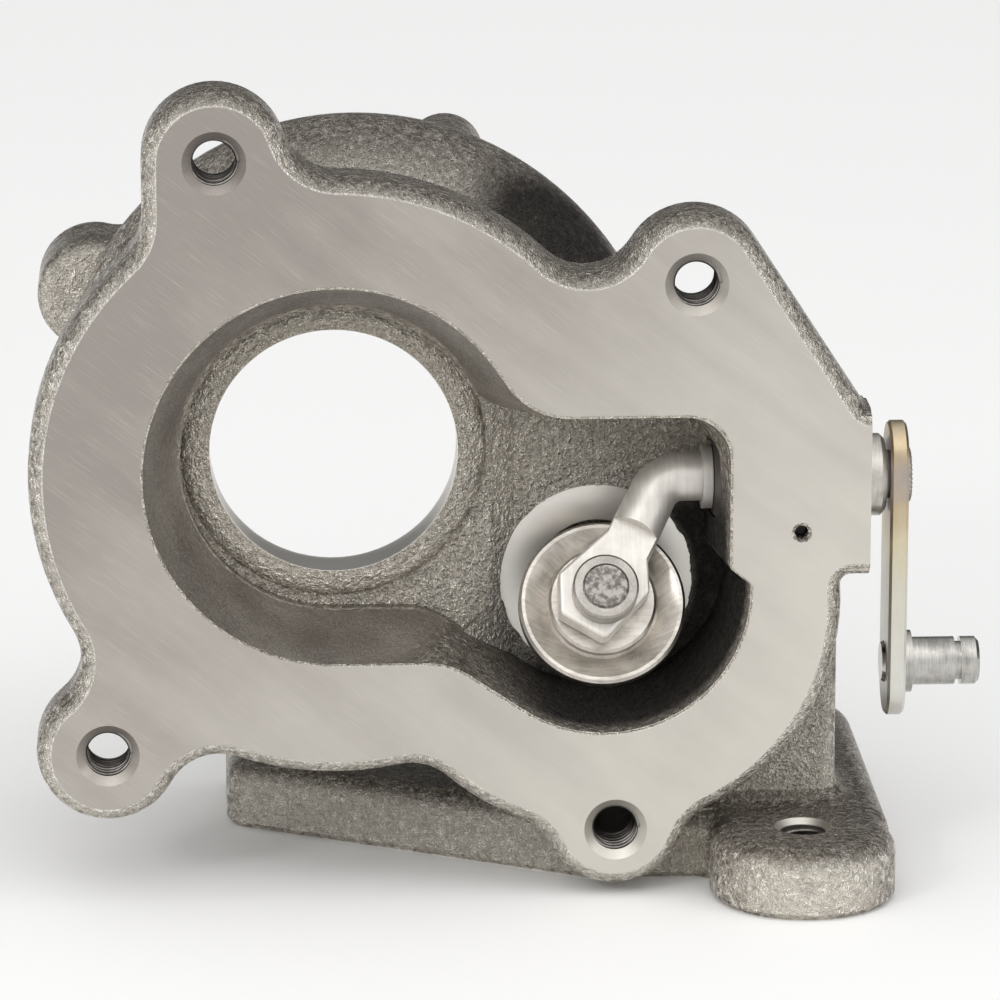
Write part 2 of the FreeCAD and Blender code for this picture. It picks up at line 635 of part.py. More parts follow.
def lock_pin_hole():
    """Hole for the lock pin, from the outlet face, with its chamfer."""
    z = lock_pin_z()
    length = LOCK_PIN_RECESS + LOCK_PIN_LENGTH + OVERRUN
    hole = rod(at(LOCK_PIN_X, -OVERRUN, z), ALONG_Y, length, LOCK_PIN_RADIUS)
    bevel = LOCK_PIN_CHAMFER
    return hole.fuse(cone(at(LOCK_PIN_X, 0, z), ALONG_Y, bevel, LOCK_PIN_RADIUS + bevel, LOCK_PIN_RADIUS))


def lock_pin_z():
    """Height of the lock pin, which crosses the lower edge of the bush."""
    return SHAFT_Z - BUSH_RADIUS + LOCK_PIN_BITE


def side_cut():
    """Waste outside the machined face of the bush block."""
    across = 2 * BLOCK_RISE
    deep = SHAFT_DEPTH + BUSH_RADIUS + BUSH_WALL + 2 * OVERRUN
    return Part.makeBox(2 * SIDE_ALLOWANCE, deep, 2 * across,
                        Vec(BOSS_FACE_X, OUTLET_Y - OVERRUN, SHAFT_Z - across))


def housing_casting():
    """The casting, fused from its walls and then hollowed and machined."""
    body = hub()
    for wall in (joint_flange(), scroll_tube(SCROLL_WALL), inlet_duct(DUCT_WALL), gate_port(GATE_PORT_WALL),
                 outlet_neck(), outlet_flange(), inlet_flange(), leg(), bush_block()):
        body = body.fuse(wall)
    bush_start = Vec(BUSH_INNER_X - BUSH_RADIUS, SHAFT_Y, SHAFT_Z)
    bush_bore = rod(bush_start, ALONG_X, BUSH_OUTER_X - BUSH_INNER_X + 2 * BUSH_RADIUS, BUSH_RADIUS)
    for waste in ([wheel_space(), scroll_tube(0), inlet_duct(0)] + outlet_cavity()
                  + [gate_port(0), bush_bore, side_cut(), lock_pin_hole()] + bolt_holes()):
        body = body.cut(waste)
    return body


def wastegate_bush():
    """Bush pressed through the block, chamfered at both ends and notched for the lock pin."""
    length = BUSH_OUTER_X - BUSH_INNER_X
    start = Vec(BUSH_INNER_X, SHAFT_Y, SHAFT_Z)
    bush = rod(start, ALONG_X, length, BUSH_RADIUS)
    ends = edges_in_plane(bush, 0, BUSH_INNER_X) + edges_in_plane(bush, 0, BUSH_OUTER_X)
    bush = bush.makeChamfer(BUSH_CHAMFER, ends)
    bore_start = start - ALONG_X * OVERRUN
    bush = bush.cut(rod(bore_start, ALONG_X, length + 2 * OVERRUN, SHAFT_RADIUS + SHAFT_CLEARANCE))
    return bush.cut(lock_pin_hole())


def bush_lock_pin():
    """Plain pin that keeps the bush from turning."""
    pin = rod(at(LOCK_PIN_X, LOCK_PIN_RECESS, lock_pin_z()), ALONG_Y, LOCK_PIN_LENGTH, LOCK_PIN_RADIUS)
    ends = edges_in_plane(pin, 1, OUTLET_Y + LOCK_PIN_RECESS)
    ends += edges_in_plane(pin, 1, OUTLET_Y + LOCK_PIN_RECESS + LOCK_PIN_LENGTH)
    return pin.makeChamfer(LOCK_PIN_CHAMFER / 2, ends)


def stem_levels():
    """Depths along the valve stem, closed: sealing face, rim, boss, eye back and front, washer front, end."""
    seal = SEAT_DEPTH - SEAT_GAP
    rim = seal - VALVE_THICKNESS
    boss = rim - VALVE_BOSS_RISE
    eye_back = boss - EYE_PLAY
    eye_front = eye_back - EYE_THICKNESS
    washer_front = eye_front - EYE_PLAY - WASHER_THICKNESS
    return seal, rim, boss, eye_back, eye_front, washer_front, washer_front - STEM_HEAD_RISE


def opened(shape):
    """The shape turned from the closed valve's place to the stored, half open one."""
    turned = shape.copy()
    turned.rotate(Vec(0, SHAFT_Y, SHAFT_Z), ALONG_X * -1, REST_OPENING)
    return turned


def eye_wire(depth):
    """Outline of the arm's eye: three flats round the stem and a neck that runs up to the limb."""
    reach = math.hypot(ELBOW_X - SEAT_X, VALVE_DROP)
    up_x = (ELBOW_X - SEAT_X) / reach
    up_z = VALVE_DROP / reach
    half = 0.9 * SHAFT_RADIUS
    width = EYE_HALF_WIDTH
    tip = EYE_NECK_REACH - 0.2 * EYE_NECK_REACH
    points = [(-width, EYE_LEFT_CORNER), (-width, -EYE_LEFT_CORNER), (0, -EYE_POINT_DROP), (width, 0),
              (tip * up_x + half * up_z, tip * up_z - half * up_x),
              (EYE_NECK_REACH * up_x - half * up_z, EYE_NECK_REACH * up_z + half * up_x)]
    corners = [(SEAT_X + x, SEAT_Z + z, EYE_CORNER_RADIUS) for x, z in points]
    return rounded_wire(corners, facing(depth))


def wastegate_arm():
    """Forged shaft with its collar, bend, limb and eye in one piece."""
    levels = stem_levels()
    corner = Vec(ELBOW_X, SHAFT_Y, SHAFT_Z)
    eye = at(SEAT_X, (levels[3] + levels[4]) / 2, SEAT_Z)
    down = (eye - corner).normalize()
    turn = math.pi - ALONG_X.getAngle(down)
    reach = ELBOW_BEND_RADIUS * math.tan(turn / 2)
    axis = ALONG_X.cross(down).normalize()
    bend_start = corner + ALONG_X * reach
    centre = bend_start + axis.cross(ALONG_X).normalize() * ELBOW_BEND_RADIUS
    ring = Part.Face(Part.Wire(Part.Circle(bend_start, ALONG_X, SHAFT_RADIUS).toShape()))
    bend = ring.revolve(centre, axis, -math.degrees(turn))
    shaft = rod(bend_start, ALONG_X, LEVER_X + LEVER_THICKNESS - bend_start.x, SHAFT_RADIUS)
    collar_x = BUSH_INNER_X - EYE_PLAY - SHAFT_COLLAR_LENGTH
    collar = rod(Vec(collar_x, SHAFT_Y, SHAFT_Z), ALONG_X, SHAFT_COLLAR_LENGTH, SHAFT_COLLAR_RADIUS)
    limb_start = corner + down * reach
    limb = cone(limb_start, down, (eye - limb_start).Length - STEM_RADIUS, SHAFT_RADIUS, LIMB_END_RADIUS)
    plate = Part.Face(eye_wire(levels[4])).extrude(ALONG_Y * EYE_THICKNESS)
    rims = edges_in_plane(plate, 1, OUTLET_Y + levels[4]) + edges_in_plane(plate, 1, OUTLET_Y + levels[3])
    plate = plate.makeFillet(EYE_EDGE_ROUND, rims)
    arm = union([shaft, collar, bend, limb, plate])
    spot = rod(at(SEAT_X, levels[4] - 2 * SHAFT_RADIUS, SEAT_Z), ALONG_Y, 2 * SHAFT_RADIUS, SPOT_FACE_RADIUS)
    hole = rod(at(SEAT_X, levels[4] - OVERRUN, SEAT_Z), ALONG_Y, EYE_THICKNESS + 2 * OVERRUN,
               STEM_RADIUS + STEM_CLEARANCE)
    flap_room = rod(at(SEAT_X, levels[3], SEAT_Z), ALONG_Y, 2 * SHAFT_RADIUS, VALVE_RADIUS + OVERRUN)
    return opened(arm.cut([spot, hole, flap_room]))


def wastegate_valve():
    """Poppet with a dished rim, a raised boss and a stem peened over the washer."""
    levels = stem_levels()
    seal, rim, boss = levels[:3]
    washer_front, end = levels[5:]
    edge = VALVE_EDGE_BREAK
    profile = [(0, seal), (VALVE_RADIUS - VALVE_SEAL_BEVEL, seal), (VALVE_RADIUS, seal - VALVE_SEAL_BEVEL),
               (VALVE_RADIUS, rim + edge), (VALVE_RADIUS - edge, rim), (VALVE_RADIUS - VALVE_RIM_WIDTH, rim),
               (VALVE_BOSS_RADIUS + edge, rim + VALVE_DISH), (VALVE_BOSS_RADIUS, rim + VALVE_DISH - edge),
               (VALVE_BOSS_RADIUS, boss + edge), (VALVE_BOSS_RADIUS - edge, boss), (STEM_RADIUS, boss),
               (STEM_RADIUS, washer_front), (STEM_HEAD_RADIUS, washer_front),
               (STEM_HEAD_RADIUS - STEM_HEAD_RISE, end), (0, end)]
    return opened(turned_about_stem(profile))


def valve_washer():
    """Thick washer between the arm's eye and the peened stem end."""
    front = stem_levels()[5]
    inner = STEM_RADIUS
    back = front + WASHER_THICKNESS
    edge = WASHER_EDGE_BREAK
    profile = [(inner, front), (WASHER_RADIUS - edge, front), (WASHER_RADIUS, front + edge),
               (WASHER_RADIUS, back), (inner, back)]
    return opened(turned_about_stem(profile))


def turned_about_stem(profile):
    """Solid of revolution about the valve's axis; profile is (radius, depth)."""
    points = [at(SEAT_X + radius, depth, SEAT_Z) for radius, depth in profile]
    face = Part.Face(Part.makePolygon(points + points[:1]))
    return face.revolve(at(SEAT_X, 0, SEAT_Z), ALONG_Y, 360)


def crank_pin_z():
    """Height of the crank pin; the lever hangs straight down in the stored pose."""
    return SHAFT_Z - CRANK_RADIUS


def crank_lever():
    """Stamped lever welded on the end of the shaft."""
    half = LEVER_WIDTH / 2
    top = SHAFT_Z + LEVER_END_REACH + half
    bottom = crank_pin_z() - LEVER_END_REACH - half
    round_end = 0.998 * half
    sides = ((-half, top), (half, top), (half, bottom), (-half, bottom))
    corners = [(side, z, round_end) for side, z in sides]
    wire = rounded_wire(corners, lambda point: Vec(LEVER_X, SHAFT_Y + point.x, point.y))
    plate = Part.Face(wire).extrude(ALONG_X * LEVER_THICKNESS)
    rims = edges_in_plane(plate, 0, LEVER_X) + edges_in_plane(plate, 0, LEVER_X + LEVER_THICKNESS)
    plate = plate.makeChamfer(LEVER_EDGE_BREAK, rims)
    for z, radius in ((SHAFT_Z, SHAFT_RADIUS), (crank_pin_z(), PIN_SHANK_RADIUS)):
        start = Vec(LEVER_X - OVERRUN, SHAFT_Y, z)
        plate = plate.cut(rod(start, ALONG_X, LEVER_THICKNESS + 2 * OVERRUN, radius))
    return plate


def crank_pin():
    """Pin for the actuator rod: rivet head, collar, running surface, clip groove and chamfered head."""
    x = LEVER_X
    collar = x + LEVER_THICKNESS
    body = collar + PIN_COLLAR_LENGTH
    groove = body + PIN_BODY_LENGTH
    head = groove + PIN_GROOVE_LENGTH
    end = head + PIN_HEAD_LENGTH
    tip = PIN_HEAD_CHAMFER
    profile = [(x - RIVET_HEIGHT, 0), (x - RIVET_HEIGHT, RIVET_RADIUS - RIVET_CHAMFER), (x, RIVET_RADIUS),
               (x, PIN_SHANK_RADIUS), (collar, PIN_SHANK_RADIUS), (collar, PIN_COLLAR_RADIUS),
               (body, PIN_COLLAR_RADIUS), (body, PIN_RADIUS), (groove, PIN_RADIUS), (groove, PIN_GROOVE_RADIUS),
               (head, PIN_GROOVE_RADIUS), (head, PIN_RADIUS), (end - tip, PIN_RADIUS),
               (end, PIN_RADIUS - tip), (end, 0)]
    z = crank_pin_z()
    points = [Vec(along, SHAFT_Y, z + radius) for along, radius in profile]
    face = Part.Face(Part.makePolygon(points + points[:1]))
    return face.revolve(Vec(0, SHAFT_Y, z), ALONG_X, 360)


def write_parts():
    """Build every piece and write it to its own file."""
    pieces = {
        "housing_casting": housing_casting(),
        "wastegate_bush": wastegate_bush(),
        "bush_lock_pin": bush_lock_pin(),
        "wastegate_arm": wastegate_arm(),
        "wastegate_valve": wastegate_valve(),
        "valve_washer": valve_washer(),
        "crank_lever": crank_lever(),
        "crank_pin": crank_pin(),
    }
    os.makedirs("parts", exist_ok=True)
    for name, shape in pieces.items():
        solids = shape.Solids
        solid = solids[0] if len(solids) == 1 else Part.makeCompound(solids)
        solid.exportStep("parts/" + name + ".step")
        print(name, len(solids), "solids", round(shape.Volume / 1000, 2), "cm3", "valid", shape.isValid())


write_parts()
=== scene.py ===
"""Looks of a turbocharger's turbine housing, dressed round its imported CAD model.

The frame gives every solid in metres. This file gives them their finishes and adds the small
details that the solids leave out: threads in the stud holes and the weld bead of the lever.
"""

from __future__ import annotations

import logging
import math
from collections.abc import Sequence
from dataclasses import dataclass, field
from enum import Enum

import bpy
from mathutils import Matrix, Vector


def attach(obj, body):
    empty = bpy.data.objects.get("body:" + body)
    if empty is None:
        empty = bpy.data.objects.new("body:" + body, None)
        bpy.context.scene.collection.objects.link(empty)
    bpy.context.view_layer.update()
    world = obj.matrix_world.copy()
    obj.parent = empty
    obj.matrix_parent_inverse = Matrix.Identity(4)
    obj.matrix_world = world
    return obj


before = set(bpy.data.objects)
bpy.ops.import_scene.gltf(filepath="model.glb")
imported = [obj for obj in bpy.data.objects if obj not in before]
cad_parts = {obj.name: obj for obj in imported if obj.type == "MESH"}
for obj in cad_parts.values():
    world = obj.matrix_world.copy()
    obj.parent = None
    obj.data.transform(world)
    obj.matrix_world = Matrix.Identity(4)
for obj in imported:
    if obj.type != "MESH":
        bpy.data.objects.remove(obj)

LOG = logging.getLogger("turbine_housing")

Colour = tuple[float, float, float]

# Metres in a millimetre, and the outlet face's place along Y in millimetres
MM = 0.001
OUTLET_FACE = -62.0

# Noise of every steel, as features per millimetre, octaves and roughness
STEEL_CLOUD = (0.25, 4.0, 0.6)
STEEL_PITS = (3.2, 3.0, 0.7)

# How far tool marks are drawn out along the grain, and the turn of the milling lines in degrees
DRAWN_OUT = 0.05
MILLING_TURN = (0.0, 52.0, 0.0)

# Slack in millimetres with which a mask takes in a flat face, and the facets of a round one
FLAT_SLACK = 0.03
FACET_SLACK = 0.05


class Blend(Enum):
    """How two colours are mixed."""

    PLAIN = "MIX"
    LIGHTEN = "SCREEN"


class Roll(Enum):
    """Which way the grain of a worked surface runs."""

    STRAIGHT = "straight"
    ROUND_X = "round the shaft"
    ROUND_Y = "round the turbine axis"


@dataclass
class Value:
    """A number socket of a shader tree that takes part in arithmetic.

    Attributes:
        shader: The shader that owns the socket.
        socket: The output socket.
    """

    shader: "Shader"
    socket: bpy.types.NodeSocket

    def _math(self, operation: str, *terms: "Value | float", clamp: bool = False) -> "Value":
        """Add one Math node.

        Args:
            operation: The node's operation.
            terms: Its inputs in order.
            clamp: Whether the result is held between 0 and 1.

        Returns:
            The result.
        """
        settings = {"operation": operation, "use_clamp": clamp}
        return self.shader.node("ShaderNodeMath", settings, {i: term for i, term in enumerate(terms)})

    def __add__(self, other: "Value | float") -> "Value":
        """Sum."""
        return self._math("ADD", self, other)

    def __radd__(self, other: float) -> "Value":
        """Sum with a number on the left."""
        return self._math("ADD", other, self)

    def __sub__(self, other: "Value | float") -> "Value":
        """Difference."""
        return self._math("SUBTRACT", self, other)

    def __rsub__(self, other: float) -> "Value":
        """Difference from a number on the left."""
        return self._math("SUBTRACT", other, self)

    def __mul__(self, other: "Value | float") -> "Value":
        """Product."""
        return self._math("MULTIPLY", self, other)

    def __rmul__(self, other: float) -> "Value":
        """Product with a number on the left."""
        return self._math("MULTIPLY", other, self)

    def __truediv__(self, other: "Value | float") -> "Value":
        """Quotient."""
        return self._math("DIVIDE", self, other)

    def __pow__(self, other: float) -> "Value":
        """Power."""
        return self._math("POWER", self, other)

    def __lt__(self, other: "Value | float") -> "Value":
        """1 where this is below the other, else 0."""
        return self._math("LESS_THAN", self, other)

    def __gt__(self, other: "Value | float") -> "Value":
        """1 where this is above the other, else 0."""
        return self._math("GREATER_THAN", self, other)

    def most(self, other: "Value | float") -> "Value":
        """The larger of two."""
        return self._math("MAXIMUM", self, other)

    def size(self) -> "Value":
        """The absolute value."""
        return self._math("ABSOLUTE", self)

    def root(self) -> "Value":
        """The square root."""
        return self._math("SQRT", self)

    def held(self) -> "Value":
        """This, held between 0 and 1."""
        return self._math("ADD", self, 0.0, clamp=True)

    def ramp(self, low: float, high: float) -> "Value":
        """Smooth step between two values.

        Args:
            low: Where the result is 0.
            high: Where the result is 1.

        Returns:
            The result, from 0 to 1.
        """
        settings = {"interpolation_type": "SMOOTHSTEP"}
        return self.shader.node("ShaderNodeMapRange", settings, {0: self, 1: low, 2: high, 3: 0.0, 4: 1.0})

    def band(self, rise: tuple[float, float], fall: tuple[float, float]) -> "Value":
        """Smooth band between two edges.

        Args:
            rise: Where the result leaves 0, and where it reaches 1.
            fall: Where the result leaves 1, and where it reaches 0.

        Returns:
            The result, from 0 to 1.
        """
        return self.ramp(*rise) * self.ramp(fall[1], fall[0])

    def steps(self, stops: list[tuple[float, Colour]]) -> bpy.types.NodeSocket:
        """Colour of this value on a ramp.

        Args:
            stops: Places and colours along the ramp.

        Returns:
            The colour socket.
        """
        return self.shader.node("ShaderNodeValToRGB", {"stops": stops}, {0: self}).socket


def distance(place: Sequence[Value], centre: Sequence[float]) -> Value:
    """Distance from a centre.

    Args:
        place: Two or three coordinates of the shaded point.
        centre: The same coordinates of the centre.

    Returns:
        The distance, in the unit of the coordinates.
    """
    total, *rest = [(part - middle) ** 2.0 for part, middle in zip(place, centre)]
    for square in rest:
        total = total + square
    return total.root()


class Shader:
    """One material under construction."""

    def __init__(self, name: str) -> None:
        """Start an empty node material.

        Args:
            name: The material's name.
        """
        self.material = bpy.data.materials.new(name)
        self.material.use_nodes = True
        self.tree = self.material.node_tree
        self.tree.nodes.clear()
        self.place = self.node("ShaderNodeTexCoord", {}, {}, "Object").socket

    def node(self, kind: str, settings: dict, inputs: dict, output: int | str = 0) -> Value:
        """Add one node of any kind.

        Args:
            kind: The node's type.
            settings: Its attributes, set first; "stops" holds a ramp's places and colours.
            inputs: Values or links by socket index or name.
            output: The output that is wanted.

        Returns:
            The wrapped output socket.
        """
        made = self.tree.nodes.new(kind)
        for key, setting in settings.items():
            if key == "stops":
                self._set_stops(made.color_ramp, setting)
            else:
                setattr(made, key, setting)
        for key, given in inputs.items():
            link = given.socket if isinstance(given, Value) else given
            if isinstance(link, bpy.types.NodeSocket):
                self.tree.links.new(link, made.inputs[key])
            else:
                made.inputs[key].default_value = self._fitted(made.inputs[key], link)
        return Value(self, made.outputs[output])

    @staticmethod
    def _set_stops(ramp: bpy.types.ColorRamp, stops: list[tuple[float, Colour]]) -> None:
        """Give a colour ramp its stops.

        Args:
            ramp: The ramp.
            stops: Places and colours.
        """
        while len(ramp.elements) < len(stops):
            ramp.elements.new(1.0)
        for element, (place, colour) in zip(ramp.elements, stops):
            element.position = place
            element.color = (*colour, 1.0)

    @staticmethod
    def _fitted(socket: bpy.types.NodeSocket, given: float | tuple) -> float | tuple:
        """The value in the form that a socket takes."""
        if socket.type == "RGBA" and isinstance(given, tuple) and len(given) == 3:
            return (*given, 1.0)
        return given

    def coordinates(self) -> tuple[Value, Value, Value]:
        """Object coordinates in millimetres, with depth counted from the outlet face."""
        x, y, z = (part / MM for part in self._split(self.place))
        return x, y - OUTLET_FACE, z

    def facing(self) -> tuple[Value, Value, Value]:
        """Parts of the surface normal along the three axes."""
        return self._split(self.node("ShaderNodeNewGeometry", {}, {}, "Normal").socket)

    def _split(self, vector: bpy.types.NodeSocket) -> tuple[Value, Value, Value]:
        """The three parts of a vector."""
        x = self.node("ShaderNodeSeparateXYZ", {}, {0: vector})
        return x, *(Value(self, x.socket.node.outputs[i]) for i in (1, 2))

    def noise(self, per_mm: float, detail: float = 3.0, rough: float = 0.55, warp: float = 0.0,
              place: bpy.types.NodeSocket | None = None) -> Value:
        """Noise over Object coordinates.

        Args:
            per_mm: Features per millimetre.
            detail: Octaves.
            rough: Weight of each finer octave.
            warp: Distortion.
            place: Coordinates other than plain Object ones.

        Returns:
            The noise, about 0.5 on average.
        """
        inputs = {"Vector": place or self.place, "Scale": per_mm / MM, "Detail": detail,
                  "Roughness": rough, "Distortion": warp}
        return self.node("ShaderNodeTexNoise", {}, inputs)

    def cells(self, per_mm: float) -> tuple[Value, Value]:
        """Irregular cells over Object coordinates.

        Args:
            per_mm: Cells per millimetre.

        Returns:
            The distance from the middle of the cell, and a random number for each cell.
        """
        inputs = {"Vector": self.place, "Scale": per_mm / MM}
        apart = self.node("ShaderNodeTexVoronoi", {}, inputs, "Distance")
        return apart, Value(self, apart.socket.node.outputs["Color"])

    def stretched(self, scale: Colour, turn: Colour = (0.0, 0.0, 0.0)) -> bpy.types.NodeSocket:
        """Object coordinates, turned and then scaled by axis.

        Args:
            scale: Factor along each axis.
            turn: Angles in degrees.

        Returns:
            The vector socket.
        """
        angles = tuple(math.radians(angle) for angle in turn)
        inputs = {"Vector": self.place, "Rotation": angles}
        turned = self.node("ShaderNodeMapping", {"vector_type": "POINT"}, inputs)
        return self.node("ShaderNodeVectorMath", {"operation": "MULTIPLY"}, {0: turned, 1: scale}).socket

    def mix(self, share: Value | float, first: bpy.types.NodeSocket | Colour,
            second: bpy.types.NodeSocket | Colour, blend: Blend = Blend.PLAIN) -> bpy.types.NodeSocket:
        """Mix two colours.

        Args:
            share: How much of the second shows.
            first: Colour at 0.
            second: Colour at 1.
            blend: The way of mixing.

        Returns:
            The mixed colour socket.
        """
        settings = {"data_type": "RGBA", "blend_type": blend.value, "clamp_result": True}
        return self.node("ShaderNodeMix", settings, {0: share, 6: first, 7: second}, 2).socket

    def between(self, share: Value, first: Value | float, second: Value | float) -> Value:
        """Mix two numbers: first at 0, second at 1."""
        return self.node("ShaderNodeMix", {"data_type": "FLOAT"}, {0: share, 2: first, 3: second}, 0)

    def bump(self, height: Value, depth_mm: float,
             under: bpy.types.NodeSocket | None = None) -> bpy.types.NodeSocket:
        """Normal from a height.

        Args:
            height: Height from 0 to 1.
            depth_mm: What 1 means, in millimetres.
            under: A normal that this one is laid on.

        Returns:
            The normal socket.
        """
        inputs = {"Height": height, "Distance": depth_mm * MM}
        if under is not None:
            inputs["Normal"] = under
        return self.node("ShaderNodeBump", {}, inputs).socket

    def finish(self, colour: bpy.types.NodeSocket | Colour, rough: Value | float, metal: Value | float,
               normal: bpy.types.NodeSocket | None = None) -> bpy.types.Material:
        """Close the material with one Principled shader.

        Args:
            colour: Base colour.
            rough: Roughness.
            metal: Metallic share.
            normal: Surface normal.

        Returns:
            The finished material.
        """
        inputs = {"Base Color": colour, "Roughness": rough, "Metallic": metal}
        if normal is not None:
            inputs["Normal"] = normal
        surface = self.node("ShaderNodeBsdfPrincipled", {}, inputs)
        out = self.tree.nodes.new("ShaderNodeOutputMaterial")
        self.tree.links.new(surface.socket, out.inputs["Surface"])
        return self.material


@dataclass(frozen=True)
class Layer:
    """A colour laid over another.

    Attributes:
        colour: The colour.
        share: How far it covers what lies under it.
        blend: How the two are mixed.
    """

    colour: Colour
    share: float
    blend: Blend = Blend.PLAIN

    def over(self, under: bpy.types.NodeSocket, mask: Value) -> bpy.types.NodeSocket:
        """Lay the colour on.

        Args:
            under: The colour under it.
            mask: Where it lies, from 0 to 1.

        Returns:
            The mixed colour socket.
        """
        return mask.shader.mix(mask * self.share, under, self.colour, self.blend)


@dataclass(frozen=True)
class WorkedSteel:
    """Steel that was turned, ground or brushed.

    Attributes:
        name: Material name.
        light: Colour of the bright metal.
        dark: Colour in its grain and stains.
        rough: Middle roughness.
        grain: Which way the tool marks run.
        marks_per_mm: Tool marks per millimetre.
        depth_mm: Depth of the marks.
        speckle: Share of fine pits, as on forged pieces.
    """

    name: str
    light: Colour
    dark: Colour
    rough: float
    grain: Roll
    marks_per_mm: float = 6.0
    depth_mm: float = 0.006
    speckle: float = 0.0

    def marks(self, shader: Shader) -> Value:
        """Height of the tool marks.

        Args:
            shader: The shader under construction.

        Returns:
            Noise drawn out along the grain.
        """
        scale = {Roll.STRAIGHT: (1.0, 1.0, DRAWN_OUT), Roll.ROUND_X: (1.0, DRAWN_OUT, DRAWN_OUT),
                 Roll.ROUND_Y: (DRAWN_OUT, 1.0, DRAWN_OUT)}
        return shader.noise(self.marks_per_mm, 2.0, 0.6, place=shader.stretched(scale[self.grain]))

    def metal(self, shader: Shader, marks: Value, cloud: Value) -> bpy.types.NodeSocket:
        """Colour of the clean metal.

        Args:
            shader: The shader under construction.
            marks: Height of the tool marks.
            cloud: Slow changes over the piece.

        Returns:
            The colour socket, between the dark and the light colour.
        """
        tone = (marks * 0.35 + cloud * 0.65).ramp(0.32, 0.68)
        return shader.mix(tone, self.dark, self.light)

    def pitted(self, shader: Shader, marks: Value, pits: Value) -> bpy.types.NodeSocket:
        """Normal of the tool marks, with pits where the steel is forged.

        Args:
            shader: The shader under construction.
            marks: Height of the tool marks.
            pits: Height of the fine pits.

        Returns:
            The normal socket.
        """
        height = marks + pits * (self.speckle * 3.0)
        return shader.bump(height, self.depth_mm * (1 + 2 * self.speckle))

    def build(self) -> bpy.types.Material:
        """The finished material."""
        shader = Shader(self.name)
        marks = self.marks(shader)
        cloud = shader.noise(*STEEL_CLOUD)
        pits = shader.noise(*STEEL_PITS)
        colour = self.metal(shader, marks, cloud)
        if self.speckle:
            pit_colour = tuple(part * 0.45 for part in self.dark)
            colour = shader.mix(pits.ramp(0.62, 0.70) * self.speckle, colour, pit_colour)
        rough = (self.rough - 0.08) + cloud * 0.16 + marks * 0.05
        return shader.finish(colour, rough, 1.0, self.pitted(shader, marks, pits))


@dataclass(frozen=True)
class HeatTintedPlate(WorkedSteel):
    """Plated steel with the gold and blue tint that a weld leaves.

    Attributes:
        weld: Place of the weld in millimetres, as (depth, z).
        reach: A third of the way that the tint spreads, in millimetres.
        fray: How far the tint's edge wanders, in millimetres.
        share: How far the tint covers the plating.
        tints: Places and colours along the tint, before the untinted end.
    """

    weld: tuple[float, float] = (12.0, -3.9)
    reach: float = 9.5
    fray: float = 3.0
    share: float = 0.75
    tints: tuple[tuple[float, Colour], ...] = (
        (0.00, (0.16, 0.13, 0.11)), (0.16, (0.30, 0.26, 0.27)), (0.24, (0.46, 0.33, 0.17)),
        (0.36, (0.60, 0.52, 0.32)), (0.60, (0.62, 0.59, 0.49)))

    def build(self) -> bpy.types.Material:
        """The finished material."""
        shader = Shader(self.name)
        marks = self.marks(shader)
        cloud = shader.noise(0.35, 4.0, 0.6)
        _, depth, z = shader.coordinates()
        away = distance((depth, z), self.weld) + (cloud - 0.5) * self.fray
        tint = (away / (self.reach * 3.0)).steps([*self.tints, (1.0, self.light)])
        tone = (marks * 0.4 + cloud * 0.6).ramp(0.3, 0.7)
        colour = shader.mix(self.share, shader.mix(tone, self.dark, self.light), tint)
        rough = (self.rough - 0.06) + cloud * 0.14
        return shader.finish(colour, rough, 1.0, shader.bump(marks, self.depth_mm))


@dataclass(frozen=True)
class SmokedSteel(WorkedSteel):
    """Worked steel that exhaust gas has darkened along X.

    Attributes:
        clean_x: Where the steel is still clean, in millimetres.
        smoked_x: Where it is darkest.
        share: How far the dark colour covers the steel.
        smoke: Colour of the dark end.
        fray: How far the edge of the smoke wanders, in millimetres.
        metallic: Metallic share of the scaled skin.
    """

    clean_x: float = 46.0
    smoked_x: float = 55.0
    share: float = 0.8
    smoke: Colour = (0.055, 0.047, 0.042)
    fray: float = 6.0
    metallic: float = 0.7

    def build(self) -> bpy.types.Material:
        """The finished material."""
        shader = Shader(self.name)
        marks = self.marks(shader)
        cloud = shader.noise(*STEEL_CLOUD)
        pits = shader.noise(*STEEL_PITS)
        x, _, _ = shader.coordinates()
        smoked = (x + (cloud - 0.5) * self.fray).ramp(self.clean_x, self.smoked_x)
        colour = shader.mix(smoked * self.share, self.metal(shader, marks, cloud), self.smoke)
        rough = (self.rough - 0.08) + cloud * 0.16 + smoked * 0.12
        return shader.finish(colour, rough, self.metallic, self.pitted(shader, marks, pits))


@dataclass(frozen=True)
class StemAndDish(WorkedSteel):
    """Turned steel of the valve, whose riveted stem end is dull.

    Attributes:
        end: Middle of the riveted end in millimetres, as (x, depth, z).
        reach: Radius of the dull spot.
        dull: Colours of the riveted end, dark and light.
    """

    end: tuple[float, float, float] = (38.9, -0.7, -16.8)
    reach: float = 3.6
    dull: tuple[Colour, Colour] = ((0.13, 0.12, 0.11), (0.36, 0.335, 0.31))

    def build(self) -> bpy.types.Material:
        """The finished material."""
        shader = Shader(self.name)
        marks = self.marks(shader)
        cloud = shader.noise(*STEEL_CLOUD)
        x, depth, z = shader.coordinates()
        end = distance((x, depth, z), self.end) < self.reach
        hammered = shader.noise(1.1, 4.0, 0.65)
        dull = shader.mix(hammered.ramp(0.38, 0.62), *self.dull)
        colour = shader.mix(end, self.metal(shader, marks, cloud), dull)
        rough = (self.rough - 0.08) + cloud * 0.16 + end * 0.14
        height = shader.between(end, marks, hammered * 6.0)
        return shader.finish(colour, rough, 1.0, shader.bump(height, self.depth_mm))


